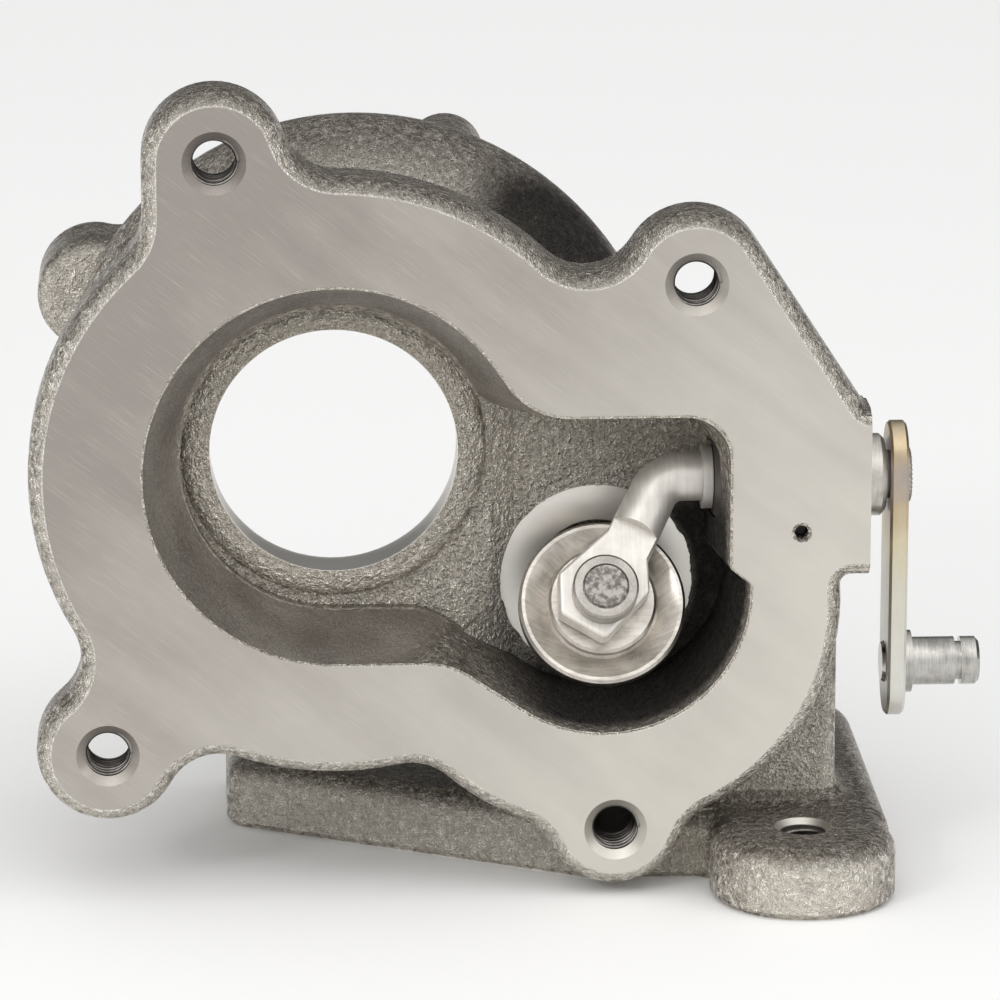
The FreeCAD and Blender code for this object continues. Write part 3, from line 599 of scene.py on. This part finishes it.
@dataclass(frozen=True)
class CastAndMachinedIron:
    """Sand-cast heat-resisting iron whose joint faces, bores and holes are machined.

    Attributes:
        name: Material name.
        hollow: Colour in the grain's hollows.
        skin: Colour of the cast skin.
        glint_tip: Colour of the grain tips, painted bright as glints.
        pale: Paler clouds in the skin.
        front: Painted light on the skin that faces the outlet side.
        upper: Painted shade on the skin that faces up.
        calm: Colours of the smooth cast wall of the mouth, dark and light.
        calm_share: How far they cover the skin.
        soot_and_painted_shade: Near-black colour of sooted iron deep in the outlet pocket, also used as
            painted shade.
        painted_edge_highlight: Painted highlight: a bright rim where the cast skin meets the outlet face.
        bare: Colours of the machined iron, dark and light.
        line: Its milling lines.
        bore: The brighter throat and valve seat.
        thread: Painted shade on the walls of the tapped holes.
        grain_mm: Size of the coarse grain.
        relief_mm: Height of the coarse grain.
        metallic: Metallic share.
    """

    name: str = "cast_and_machined_iron"
    hollow: Colour = (0.120, 0.104, 0.088)
    skin: Colour = (0.42, 0.380, 0.328)
    glint_tip: Colour = (0.90, 0.86, 0.78)
    pale: Layer = Layer((0.24, 0.22, 0.20), 0.25, Blend.LIGHTEN)
    front: Layer = Layer((0.80, 0.755, 0.67), 0.56)
    upper: Layer = Layer((0.085, 0.072, 0.060), 0.58)
    calm: tuple[Colour, Colour] = ((0.23, 0.206, 0.183), (0.46, 0.427, 0.39))
    calm_share: float = 0.85
    soot_and_painted_shade: Layer = Layer((0.012, 0.010, 0.010), 0.93)
    painted_edge_highlight: Layer = Layer((0.75, 0.72, 0.67), 0.8)
    bare: tuple[Colour, Colour] = ((0.32, 0.288, 0.264), (0.60, 0.572, 0.517))
    line: Layer = Layer((0.70, 0.67, 0.63), 0.22)
    bore: Layer = Layer((0.93, 0.90, 0.85), 0.75)
    thread: Layer = Layer((0.10, 0.092, 0.085), 0.85)
    grain_mm: float = 0.95
    relief_mm: float = 0.62
    metallic: float = 0.92

    def build(self, housing: "HousingCasting") -> bpy.types.Material:
        """The finished material.

        Args:
            housing: The casting, which knows where it is machined.

        Returns:
            The material.
        """
        shader = Shader(self.name)
        x, depth, z = shader.coordinates()
        cloud = shader.noise(0.09, 3.0, 0.5)
        patches = shader.noise(0.35, 3.0, 0.6)
        coarse = shader.noise(1.0 / self.grain_mm, 3.0, 0.62, 0.4)
        fine = shader.noise(3.4 / self.grain_mm, 2.0, 0.6)
        dome, lot = shader.cells(1.3 / self.grain_mm)
        lines = shader.noise(5.0, 2.0, 0.6, place=shader.stretched((1.0, 1.0, 0.03), MILLING_TURN))
        grit = coarse * 0.6 + fine * 0.4
        tone = grit + (lot - 0.5) * 0.06 + (patches - 0.5) * 0.20
        threads = housing.thread_mask(x, depth, z)
        machined, flat_face = housing.machined_mask(x, depth, z, patches)
        machined = machined.most(threads)
        smooth = housing.smooth_mask(x, depth, z)
        # Near-black mask: sooted iron with painted shadow below the valve, and painted shade in the
        # hollows behind the outlet flange.
        dark = housing.soot_and_shadow_mask(x, depth, z).most(housing.painted_recess_shade_mask(x, depth, z))
        dark = (dark + (patches - 0.5) * 0.3).held()

        cast = self._cast_colour(shader, tone, cloud)
        calm = shader.mix((cloud * 0.5 + fine * 0.5).ramp(0.36, 0.64), *self.calm)
        cast = shader.mix(smooth * self.calm_share, cast, calm)
        # Near-black colour: sooted iron and painted shade.
        cast = self.soot_and_painted_shade.over(cast, dark)
        # Painted highlight along the rim of the outlet face.
        cast = self.painted_edge_highlight.over(cast, housing.painted_edge_highlight_mask(depth))
        bare = self._bare_colour(shader, x, z)
        bare = self.line.over(bare, (lines - 0.5).ramp(0.0, 0.3))
        bare = self.bore.over(bare, housing.bore_mask(depth))
        # Painted shade darkens the walls of the tapped holes.
        bare = self.thread.over(bare, threads)

        cast_rough = shader.between(smooth, 0.27 - (tone - 0.5) * 0.5, 0.46) + dark * 0.2
        rough = shader.between(machined, cast_rough, 0.32 + cloud * 0.10)
        relief = shader.between(smooth, 1.0, 0.22)
        height = (grit + (0.5 - dome) * 0.16) * relief * (1.0 - machined)
        normal = shader.bump(height, self.relief_mm * 2.2)
        normal = shader.bump(lines * flat_face, 0.004, under=normal)
        return shader.finish(shader.mix(machined, cast, bare), rough, self.metallic, normal)

    def _cast_colour(self, shader: Shader, tone: Value, cloud: Value) -> bpy.types.NodeSocket:
        """Colour of the cast skin.

        Args:
            shader: The shader under construction.
            tone: Height of the sand's grain with its patches, about 0.5 on average.
            cloud: Slow changes over the casting.

        Returns:
            The colour socket: dark hollows, brown-grey skin and grain tips painted bright as glints, with
                painted
            light on the skin that faces the outlet side and painted shade on the skin that faces up.
        """
        # The brightest stop paints glints on the grain tips.
        stops = [(0.39, self.hollow), (0.48, self.skin), (0.525, self.skin), (0.61, self.glint_tip)]
        colour = self.pale.over(tone.steps(stops), cloud.ramp(0.40, 0.75))
        _, facing_y, facing_z = shader.facing()
        # Painted light: skin that faces the outlet side is brightened.
        colour = self.front.over(colour, (facing_y * -1.0).ramp(0.45, 0.95))
        # Painted shade: skin that faces up is darkened.
        return self.upper.over(colour, facing_z.ramp(0.10, 0.90))

    def _bare_colour(self, shader: Shader, x: Value, z: Value) -> bpy.types.NodeSocket:
        """Colour of the machined iron.

        Args:
            shader: The shader under construction.
            x: X in millimetres.
            z: Z in millimetres.

        Returns:
            The colour socket, cloudy and with a painted sheen that lightens it towards the lower right.
        """
        cloud = shader.noise(0.05, 4.0, 0.6)
        sweep = shader.noise(0.16, 2.0, 0.5, place=shader.stretched((1.0, 1.0, 0.12), MILLING_TURN))
        # The x and z terms paint a sheen that lightens the face towards the lower right.
        tone = x * 0.0069 - z * 0.0061 + 0.33 + (cloud - 0.5) * 0.5 + (sweep - 0.5) * 0.6
        return shader.mix(tone.held(), *self.bare)


def placed(x: float, depth: float, z: float) -> Matrix:
    """Move to a place given in millimetres, with depth counted from the outlet face."""
    return Matrix.Translation((x * MM, (OUTLET_FACE + depth) * MM, z * MM))


@dataclass
class HousingCasting:
    """The casting: where it is machined or smooth, where it is sooted and painted with shade, and where
    its tapped holes are.

    Attributes:
        outlet_bolts: Centres (x, z) of the outlet flange's tapped holes, in millimetres.
        inlet_bolts: Centres (x, depth) of the inlet flange's tapped holes.
        hole_radius: Radius of a tapped hole.
        chamfer: Chamfer of a tapped hole.
        seat: Centre (x, z) of the valve seat.
        seat_radius: Radius of the machined seat.
        seat_depth: Depth of the seat behind the outlet face.
        pocket: Centre (x, z) of the pocket's round end.
        pocket_radius: Radius that takes in the pocket's wall.
        exducer_radius: Radius of the wheel's outlet bore.
        lip_depth: Depth of the bore's lip.
        wheel_space: The wheel space's two steps, as (radius, depth from which it is machined).
        bright_depth: Depths between which machined iron is brighter, as (rise, fall).
        mouth: Radii between which the mouth's cast wall slopes, as (rise, fall).
        mouth_depth: Depth where that wall ends, as (last of it, past it).
        joint_radius: Radius that takes in the joint face and its bosses.
        hole_depth: Depth that takes in the outlet flange's tapped holes.
        base: Height of the machined underside.
        flange_top: Height of the inlet flange's upper side.
        painted_shade_spots: Spots of painted shade in the hollows behind the outlet flange, as (x, depth,
            z, radius).
        finish: The iron's finish.
    """

    outlet_bolts: tuple[tuple[float, float], ...] = (
        (-17.0, 45.7), (51.8, 27.4), (-33.4, -41.6), (40.5, -54.0))
    inlet_bolts: tuple[tuple[float, float], ...] = ((68.1, 0.9), (68.1, 59.5), (-1.8, 49.8))
    hole_radius: float = 3.4
    chamfer: float = 1.2
    seat: tuple[float, float] = (38.9, -21.4)
    seat_radius: float = 14.4
    seat_depth: float = 20.5
    pocket: tuple[float, float] = (38.9, -18.2)
    pocket_radius: float = 23.5
    exducer_radius: float = 18.1
    lip_depth: float = 14.5
    wheel_space: tuple[tuple[float, float], ...] = ((24.5, 19.0), (31.6, 49.5))
    bright_depth: tuple[tuple[float, float], tuple[float, float]] = ((13.0, 14.2), (25.0, 30.0))
    mouth: tuple[tuple[float, float], tuple[float, float]] = ((22.2, 23.2), (29.5, 31.0))
    mouth_depth: tuple[float, float] = (14.0, 15.5)
    joint_radius: float = 50.5
    hole_depth: float = 40.0
    base: float = -64.5
    flange_top: float = -54.2
    # Painted shade: centres and radii of the dark spots behind the outlet flange.
    painted_shade_spots: tuple[tuple[float, float, float, float], ...] = (
        (37.0, 24.0, 30.0, 22.0), (13.0, 15.0, -45.5, 10.0),
        (47.0, 14.0, -58.0, 9.0), (20.0, 13.0, -48.0, 8.0))
    finish: CastAndMachinedIron = field(default_factory=CastAndMachinedIron)

    def machined_mask(self, x: Value, depth: Value, z: Value, patches: Value) -> tuple[Value, Value]:
        """Where the iron is machined.

        Args:
            x: X in millimetres.
            depth: Depth behind the outlet face.
            z: Z in millimetres.
            patches: Noise that frays the rim of the seat.

        Returns:
            The mask of every machined surface, and that of the flat faces alone.
        """
        axis = distance((x, z), (0.0, 0.0))
        joint = ((depth + OUTLET_FACE).size() < FLAT_SLACK) * (axis < self.joint_radius)
        flat = (depth.size() < 0.02).most(joint).most(z < self.base + FLAT_SLACK)
        throat = (axis < self.exducer_radius + 0.06) * (depth > self.lip_depth - 0.2)
        rim = distance((x, z), self.seat) + (patches - 0.5) * 1.6
        level = (depth > self.seat_depth - 0.15) * (depth < self.seat_depth + 0.3)
        mask = flat.most(throat).most((rim < self.seat_radius - 0.1) * level)
        for radius, from_depth in self.wheel_space:
            mask = mask.most((axis < radius) * (depth > from_depth))
        reach = self.hole_radius + FACET_SLACK
        for bolt in self.outlet_bolts:
            mask = mask.most(distance((x, z), bolt) < reach + self.chamfer - depth)
        for bolt in self.inlet_bolts:
            wall = reach + (z - (self.flange_top - 0.8)).most(0.0)
            mask = mask.most((distance((x, depth), bolt) < wall) * (z < self.flange_top + FACET_SLACK))
        return mask, flat

    def thread_mask(self, x: Value, depth: Value, z: Value) -> Value:
        """Walls of the tapped holes, without their chamfers."""
        mask = depth * 0.0
        reach = self.hole_radius + FACET_SLACK
        for bolt in self.outlet_bolts:
            hole = distance((x, z), bolt) < reach
            mask = mask.most(hole * (depth > self.chamfer) * (depth < self.hole_depth))
        for bolt in self.inlet_bolts:
            mask = mask.most((distance((x, depth), bolt) < reach) * (z < self.flange_top - 0.9))
        return mask

    def bore_mask(self, depth: Value) -> Value:
        """Where machined iron is brighter: the bored throat and the valve seat."""
        return depth.band(*self.bright_depth)

    def smooth_mask(self, x: Value, depth: Value, z: Value) -> Value:
        """Where the cast skin is smooth: the sloping wall of the mouth, away from the valve."""
        wall = distance((x, z), (0.0, 0.0)).band(*self.mouth)
        near = (depth > 0.3) * depth.ramp(*reversed(self.mouth_depth))
        return wall * near * (x - z * 0.4).ramp(34.0, 20.0)

    def soot_and_shadow_mask(self, x: Value, depth: Value, z: Value) -> Value:
        """Where the outlet pocket is nearly black below and right of the valve: sooted iron with a painted
        shadow of the valve.
        """
        ring = distance((x, z), self.seat).ramp(12.5, 15.5)
        inside = distance((x, z), self.pocket) < self.pocket_radius
        low = (z - x * 0.45).ramp(-22.0, -36.0)
        return ring * inside * low * x.ramp(19.0, 33.0) * depth.ramp(0.4, 4.0) * (depth < 24.0)

    def painted_recess_shade_mask(self, x: Value, depth: Value, z: Value) -> Value:
        """Painted shade on the cast skin in the hollows behind the outlet flange."""
        mask = depth * 0.0
        for *centre, radius in self.painted_shade_spots:
            mask = mask.most(distance((x, depth, z), centre).ramp(radius, radius * 0.55))
        return mask * (depth > 9.0)

    def painted_edge_highlight_mask(self, depth: Value) -> Value:
        """Thin line of painted highlight where the cast skin meets the outlet face."""
        return (depth > 0.015) * (depth < 0.16)

    def dress(self) -> None:
        """Give the casting its material."""
        give_material("housing_casting", self.finish.build(self))


class SweptTree:
    """One Geometry Nodes tree that sweeps a profile along a curve."""

    def __init__(self, name: str, sizes: dict[str, float]) -> None:
        """Start a tree with named number inputs.

        Args:
            name: The tree's name.
            sizes: Names and usual values of its inputs.
        """
        self.tree = bpy.data.node_groups.new(name, "GeometryNodeTree")
        for size, usual in sizes.items():
            socket = self.tree.interface.new_socket(size, in_out="INPUT", socket_type="NodeSocketFloat")
            socket.default_value = usual
        self.tree.interface.new_socket("Geometry", in_out="OUTPUT", socket_type="NodeSocketGeometry")
        self.sizes = self.tree.nodes.new("NodeGroupInput").outputs

    def node(self, kind: str, inputs: dict, operation: str | None = None) -> bpy.types.NodeSocket:
        """Add one node.

        Args:
            kind: The node's type.
            inputs: Values or links by socket index or name.
            operation: What a Math node does.

        Returns:
            Its first output.
        """
        made = self.tree.nodes.new(kind)
        if operation:
            made.operation = operation
        for key, given in inputs.items():
            if isinstance(given, bpy.types.NodeSocket):
                self.tree.links.new(given, made.inputs[key])
            else:
                made.inputs[key].default_value = given
        return made.outputs[0]

    def close(self, shape: bpy.types.NodeSocket, material: bpy.types.Material) -> bpy.types.NodeTree:
        """Make the shape real, give it its material and hand it to the output.

        Args:
            shape: The swept mesh.
            material: Its material.

        Returns:
            The finished tree.
        """
        real = self.node("GeometryNodeRealizeInstances", {0: shape})
        painted = self.node("GeometryNodeSetMaterial", {"Geometry": real, "Material": material})
        leave = self.tree.nodes.new("NodeGroupOutput")
        self.tree.links.new(painted, leave.inputs[0])
        return self.tree


@dataclass
class StudThreads:
    """Thread ridges inside the tapped holes of the outlet and inlet flanges.

    Attributes:
        housing: The casting that holds the holes.
        pitch: Thread pitch in millimetres.
        height: Height of a ridge.
        inset: How far a thread starts from its flange's face.
        outlet_turns: Turns in a hole of the outlet flange.
        inlet_turns: Turns in a hole of the inlet flange.
        finish: Finish of the cut thread, darkened as painted shade inside the holes.
    """

    housing: HousingCasting
    pitch: float = 1.25
    height: float = 0.45
    inset: float = 1.3
    outlet_turns: float = 6.2
    inlet_turns: float = 6.0
    # The ridges' dark colours are painted shade inside the holes.
    finish: WorkedSteel = WorkedSteel("cut_thread_in_painted_shade", (0.34, 0.32, 0.30), (0.13, 0.12, 0.11), 0.38,
                                      Roll.STRAIGHT, 3.0)

    def tree(self, material: bpy.types.Material) -> bpy.types.NodeTree:
        """Geometry Nodes tree of one threaded sleeve about +Z.

        Args:
            material: The ridges' material.

        Returns:
            The tree, with named inputs for its sizes.
        """
        swept = SweptTree("thread_in_hole", {
            "Radius": 0.0034, "Height": 0.0004, "Pitch": 0.00125, "Turns": 6.0})
        radius, height, pitch, turns = (swept.sizes[i] for i in range(4))
        rise = swept.node("ShaderNodeMath", {0: pitch, 1: turns}, "MULTIPLY")
        spiral = swept.node("GeometryNodeCurveSpiral", {
            "Resolution": 40, "Start Radius": radius, "End Radius": radius,
            "Rotations": turns, "Height": rise})
        profile = swept.node("GeometryNodeCurvePrimitiveCircle", {"Resolution": 4, "Radius": height})
        ridge = swept.node("GeometryNodeCurveToMesh", {
            "Fill Caps": True, "Curve": spiral, "Profile Curve": profile})
        return swept.close(ridge, material)

    def build(self) -> None:
        """Make the threads of every hole as one piece on the housing."""
        tree = self.tree(self.finish.build())
        inward = Matrix.Rotation(-math.pi / 2, 4, "X")
        sleeves = []
        for x, z in self.housing.outlet_bolts:
            sleeves.append((placed(x, self.inset, z) @ inward, self.outlet_turns))
        for x, depth in self.housing.inlet_bolts:
            sleeves.append((placed(x, depth, self.housing.base + self.inset), self.inlet_turns))
        meshes = []
        for place, turns in sleeves:
            sizes = {"Radius": self.housing.hole_radius * MM + 0.0001, "Height": self.height * MM,
                     "Pitch": self.pitch * MM, "Turns": turns}
            mesh = grown_mesh(tree, sizes)
            mesh.transform(place)
            meshes.append(mesh)
        piece = joined_piece("stud_hole_threads", meshes)
        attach(piece, "housing")


@dataclass
class WastegateGear:
    """Finishes of the arm, valve, washer, bush and lock pin of the wastegate."""

    arm: SmokedSteel = SmokedSteel(
        "forged_arm_steel", (0.76, 0.73, 0.68), (0.58, 0.55, 0.51), 0.46, Roll.ROUND_X, 2.0, 0.010, 0.15,
        clean_x=50.0, smoked_x=57.0, share=0.6)
    valve: StemAndDish = StemAndDish(
        "turned_valve_steel", (0.60, 0.565, 0.515), (0.34, 0.315, 0.285), 0.30, Roll.ROUND_Y, 5.0, 0.006)
    washer: WorkedSteel = WorkedSteel(
        "washer_steel", (0.46, 0.435, 0.40), (0.27, 0.25, 0.23), 0.36, Roll.STRAIGHT, speckle=0.2)
    bush: SmokedSteel = SmokedSteel(
        "turned_bush_steel", (0.64, 0.61, 0.56), (0.34, 0.32, 0.29), 0.24, Roll.ROUND_X,
        clean_x=66.0, smoked_x=58.0, share=0.9)
    # The lock pin is coloured nearly black as painted shade in its hole.
    pin: WorkedSteel = WorkedSteel(
        "lock_pin_in_painted_shade", (0.060, 0.056, 0.054), (0.025, 0.023, 0.022), 0.5, Roll.STRAIGHT)

    def dress(self) -> None:
        """Give each solid its finish."""
        finishes = {"wastegate_arm": self.arm, "wastegate_valve": self.valve, "valve_washer": self.washer,
                    "wastegate_bush": self.bush, "bush_lock_pin": self.pin}
        for node, finish in finishes.items():
            give_material(node, finish.build())


@dataclass
class CrankGear:
    """Lever, crank pin and the weld bead between lever and shaft.

    Attributes:
        weld_x: Outer face of the lever in millimetres.
        shaft: Depth and height of the shaft axis.
        bead_radius: Radius of the bead's centre line.
        bead_size: Half thickness of the bead.
        ripples: Solidified ripples round the bead.
        lever: Finish of the lever.
        pin: Finish of the crank pin.
        bead: Finish of the weld bead.
    """

    weld_x: float = 83.6
    shaft: tuple[float, float] = (12.0, -3.9)
    bead_radius: float = 3.6
    bead_size: float = 0.75
    ripples: int = 34
    lever: HeatTintedPlate = HeatTintedPlate(
        "plated_lever_steel", (0.66, 0.65, 0.60), (0.50, 0.49, 0.45), 0.30, Roll.STRAIGHT, 4.0, 0.005)
    pin: WorkedSteel = WorkedSteel(
        "bright_pin_steel", (0.56, 0.545, 0.51), (0.27, 0.26, 0.245), 0.13, Roll.ROUND_X)
    bead: WorkedSteel = WorkedSteel(
        "weld_bead_steel", (0.42, 0.38, 0.33), (0.20, 0.17, 0.15), 0.36, Roll.STRAIGHT)

    def tree(self, material: bpy.types.Material) -> bpy.types.NodeTree:
        """Geometry Nodes tree of a rippled bead on a circle about +Z.

        Args:
            material: The bead's material.

        Returns:
            The tree, with named inputs for its sizes.
        """
        swept = SweptTree("rippled_bead", {"Radius": 0.0036, "Size": 0.0007, "Ripples": 34.0})
        radius, size, ripples = (swept.sizes[i] for i in range(3))
        ring = swept.node("GeometryNodeCurvePrimitiveCircle", {"Resolution": 204, "Radius": radius})
        along = swept.node("GeometryNodeSplineParameter", {})
        wave = swept.node("ShaderNodeMath", {0: along, 1: ripples}, "MULTIPLY")
        part = swept.node("ShaderNodeMath", {0: wave}, "FRACT")
        swell = swept.node("ShaderNodeMapRange", {0: part, 3: 1.0, 4: 0.78})
        thickness = swept.node("ShaderNodeMath", {0: size, 1: swell}, "MULTIPLY")
        profile = swept.node("GeometryNodeCurvePrimitiveCircle", {"Resolution": 12, "Radius": 1.0})
        bead = swept.node("GeometryNodeCurveToMesh", {
            "Curve": ring, "Profile Curve": profile, "Scale": thickness})
        return swept.close(bead, material)

    def build(self) -> None:
        """Dress the solids and lay the bead round the shaft's end."""
        give_material("crank_lever", self.lever.build())
        give_material("crank_pin", self.pin.build())
        sizes = {"Radius": self.bead_radius * MM, "Size": self.bead_size * MM,
                 "Ripples": float(self.ripples)}
        mesh = grown_mesh(self.tree(self.bead.build()), sizes)
        mesh.transform(placed(self.weld_x, *self.shaft) @ Matrix.Rotation(math.pi / 2, 4, "Y"))
        piece = joined_piece("lever_weld_bead", [mesh])
        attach(piece, "arm")


@dataclass(frozen=True)
class Softbox:
    """One soft square lamp that points at the housing.

    Attributes:
        name: The lamp's name.
        place: Where it hangs, in metres.
        size: Side of its face, in metres.
        power: Power in watts.
        target: What it points at, in metres.
    """

    name: str
    place: tuple[float, float, float]
    size: float
    power: float
    target: tuple[float, float, float] = (0.02, -0.03, 0.0)

    def hang(self) -> None:
        """Hang the lamp."""
        light = bpy.data.lights.new(self.name, "AREA")
        light.size = self.size
        light.energy = self.power
        lamp = bpy.data.objects.new(self.name, light)
        lamp.location = self.place
        aim = Vector(self.target) - Vector(self.place)
        lamp.rotation_euler = aim.to_track_quat("-Z", "Y").to_euler()
        bpy.context.scene.collection.objects.link(lamp)


@dataclass
class Studio:
    """Floor, soft lamps and the camera at the photograph's place.

    Attributes:
        base: Height of the floor in millimetres.
        side: Half the floor's side in metres.
        eye: Camera's place in metres.
        look: Direction of view.
        lens: Focal length for a 36 mm wide sensor.
        above: Room light by height, as (low, high, light at low, light at high).
        front: Room light by depth, in the same form.
        backdrop: Room light that the camera sees.
        lamps: The soft lamps.
    """

    base: float = -64.5
    side: float = 6.0
    eye: tuple[float, float, float] = (-0.01951, -0.88380, 0.20885)
    look: tuple[float, float, float] = (0.05066893, 0.96682083, -0.25038)
    lens: float = 212.5
    above: tuple[float, float, float, float] = (0.35, 0.9, 0.0, 0.74)
    front: tuple[float, float, float, float] = (-0.5, 0.35, 1.05, 0.12)
    backdrop: float = 0.86
    lamps: tuple[Softbox, ...] = (
        Softbox("overhead_softbox", (-0.25, 0.15, 0.95), 0.8, 0.3),
        Softbox("front_softbox", (-0.20, -0.75, 0.80), 0.5, 0.9),
        Softbox("left_key", (-0.60, -0.80, 0.50), 0.16, 1.6),
        Softbox("right_softbox", (0.9, -0.55, 0.35), 0.4, 1.2))

    def floor(self) -> None:
        """Lay the pale floor."""
        shader = Shader("pale_floor")
        cloud = shader.noise(0.004, 2.0)
        colour = shader.mix(cloud, (0.895, 0.895, 0.890), (0.910, 0.910, 0.905))
        mesh = bpy.data.meshes.new("floor")
        height = self.base * MM
        signs = ((-1, -1), (1, -1), (1, 1), (-1, 1))
        corners = [(x * self.side, y * self.side, height) for x, y in signs]
        mesh.from_pydata(corners, [], [(0, 1, 2, 3)])
        mesh.materials.append(shader.finish(colour, 0.6, 0.0))
        floor = bpy.data.objects.new("floor", mesh)
        bpy.context.scene.collection.objects.link(floor)

    def world(self) -> None:
        """Light the scene from a soft room, bright above and in front and dark behind."""
        world = bpy.data.worlds.new("soft_room")
        world.use_nodes = True
        tree = world.node_tree
        tree.nodes.clear()
        new = tree.nodes.new
        link = tree.links.new
        split = new("ShaderNodeSeparateXYZ")
        link(new("ShaderNodeTexCoord").outputs["Generated"], split.inputs[0])
        level = new("ShaderNodeMath")
        level.operation = "ADD"
        for place, (axis, limits) in enumerate(((2, self.above), (1, self.front))):
            part = new("ShaderNodeMapRange")
            link(split.outputs[axis], part.inputs[0])
            for i, limit in enumerate(limits, start=1):
                part.inputs[i].default_value = limit
            link(part.outputs[0], level.inputs[place])
        seen = new("ShaderNodeMix")
        link(new("ShaderNodeLightPath").outputs["Is Camera Ray"], seen.inputs[0])
        link(level.outputs[0], seen.inputs[2])
        seen.inputs[3].default_value = self.backdrop
        light = new("ShaderNodeBackground")
        light.inputs["Color"].default_value = (1.0, 1.0, 1.0, 1.0)
        link(seen.outputs[0], light.inputs["Strength"])
        link(light.outputs[0], new("ShaderNodeOutputWorld").inputs[0])
        bpy.context.scene.world = world

    def camera(self) -> None:
        """Set the camera at the photograph's viewing place."""
        data = bpy.data.cameras.new("photo_camera")
        data.sensor_fit = "HORIZONTAL"
        data.sensor_width = 36.0
        data.lens = self.lens
        data.clip_start = 0.01
        data.clip_end = 30.0
        camera = bpy.data.objects.new("photo_camera", data)
        camera.location = self.eye
        camera.rotation_euler = Vector(self.look).to_track_quat("-Z", "Y").to_euler()
        bpy.context.scene.collection.objects.link(camera)
        bpy.context.scene.camera = camera

    def build(self) -> None:
        """Set up the whole studio."""
        self.floor()
        self.world()
        for lamp in self.lamps:
            lamp.hang()
        self.camera()
        bpy.context.scene.view_settings.view_transform = "Standard"


def give_material(node: str, material: bpy.types.Material) -> None:
    """Put one material on a CAD node.

    Args:
        node: The node's name.
        material: Its material.
    """
    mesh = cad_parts[node].data
    mesh.materials.clear()
    mesh.materials.append(material)
    LOG.info("%s is dressed in %s", node, material.name)


def grown_mesh(tree: bpy.types.NodeTree, sizes: dict[str, float]) -> bpy.types.Mesh:
    """Run a Geometry Nodes tree once and keep its plain mesh.

    Args:
        tree: The tree.
        sizes: Values of its named inputs.

    Returns:
        The mesh.
    """
    holder = bpy.data.objects.new("holder", bpy.data.meshes.new("holder"))
    bpy.context.scene.collection.objects.link(holder)
    grow = holder.modifiers.new("grow", "NODES")
    grow.node_group = tree
    for item in tree.interface.items_tree:
        if item.in_out == "INPUT" and item.name in sizes:
            grow[item.identifier] = sizes[item.name]
    shown = holder.evaluated_get(bpy.context.evaluated_depsgraph_get())
    mesh = bpy.data.meshes.new_from_object(shown)
    bpy.data.objects.remove(holder)
    return mesh


def joined_piece(name: str, meshes: list[bpy.types.Mesh]) -> bpy.types.Object:
    """One object at the origin from several meshes.

    Args:
        name: The piece's name.
        meshes: Its meshes, already in place.

    Returns:
        The object.
    """
    corners: list[Vector] = []
    faces: list[tuple[int, ...]] = []
    for mesh in meshes:
        start = len(corners)
        corners.extend(vertex.co.copy() for vertex in mesh.vertices)
        faces.extend(tuple(start + i for i in polygon.vertices) for polygon in mesh.polygons)
    whole = bpy.data.meshes.new(name)
    whole.from_pydata(corners, [], faces)
    whole.materials.append(meshes[0].materials[0])
    whole.shade_smooth()
    piece = bpy.data.objects.new(name, whole)
    bpy.context.scene.collection.objects.link(piece)
    LOG.info("%s has %d faces", name, len(faces))
    return piece


def main() -> None:
    """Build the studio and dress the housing."""
    logging.basicConfig(level=logging.INFO, format="%(name)s: %(message)s")
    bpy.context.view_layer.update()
    Studio().build()
    casting = HousingCasting()
    casting.dress()
    StudThreads(casting).build()
    WastegateGear().dress()
    CrankGear().build()


if __name__ == "__main__":
    main()
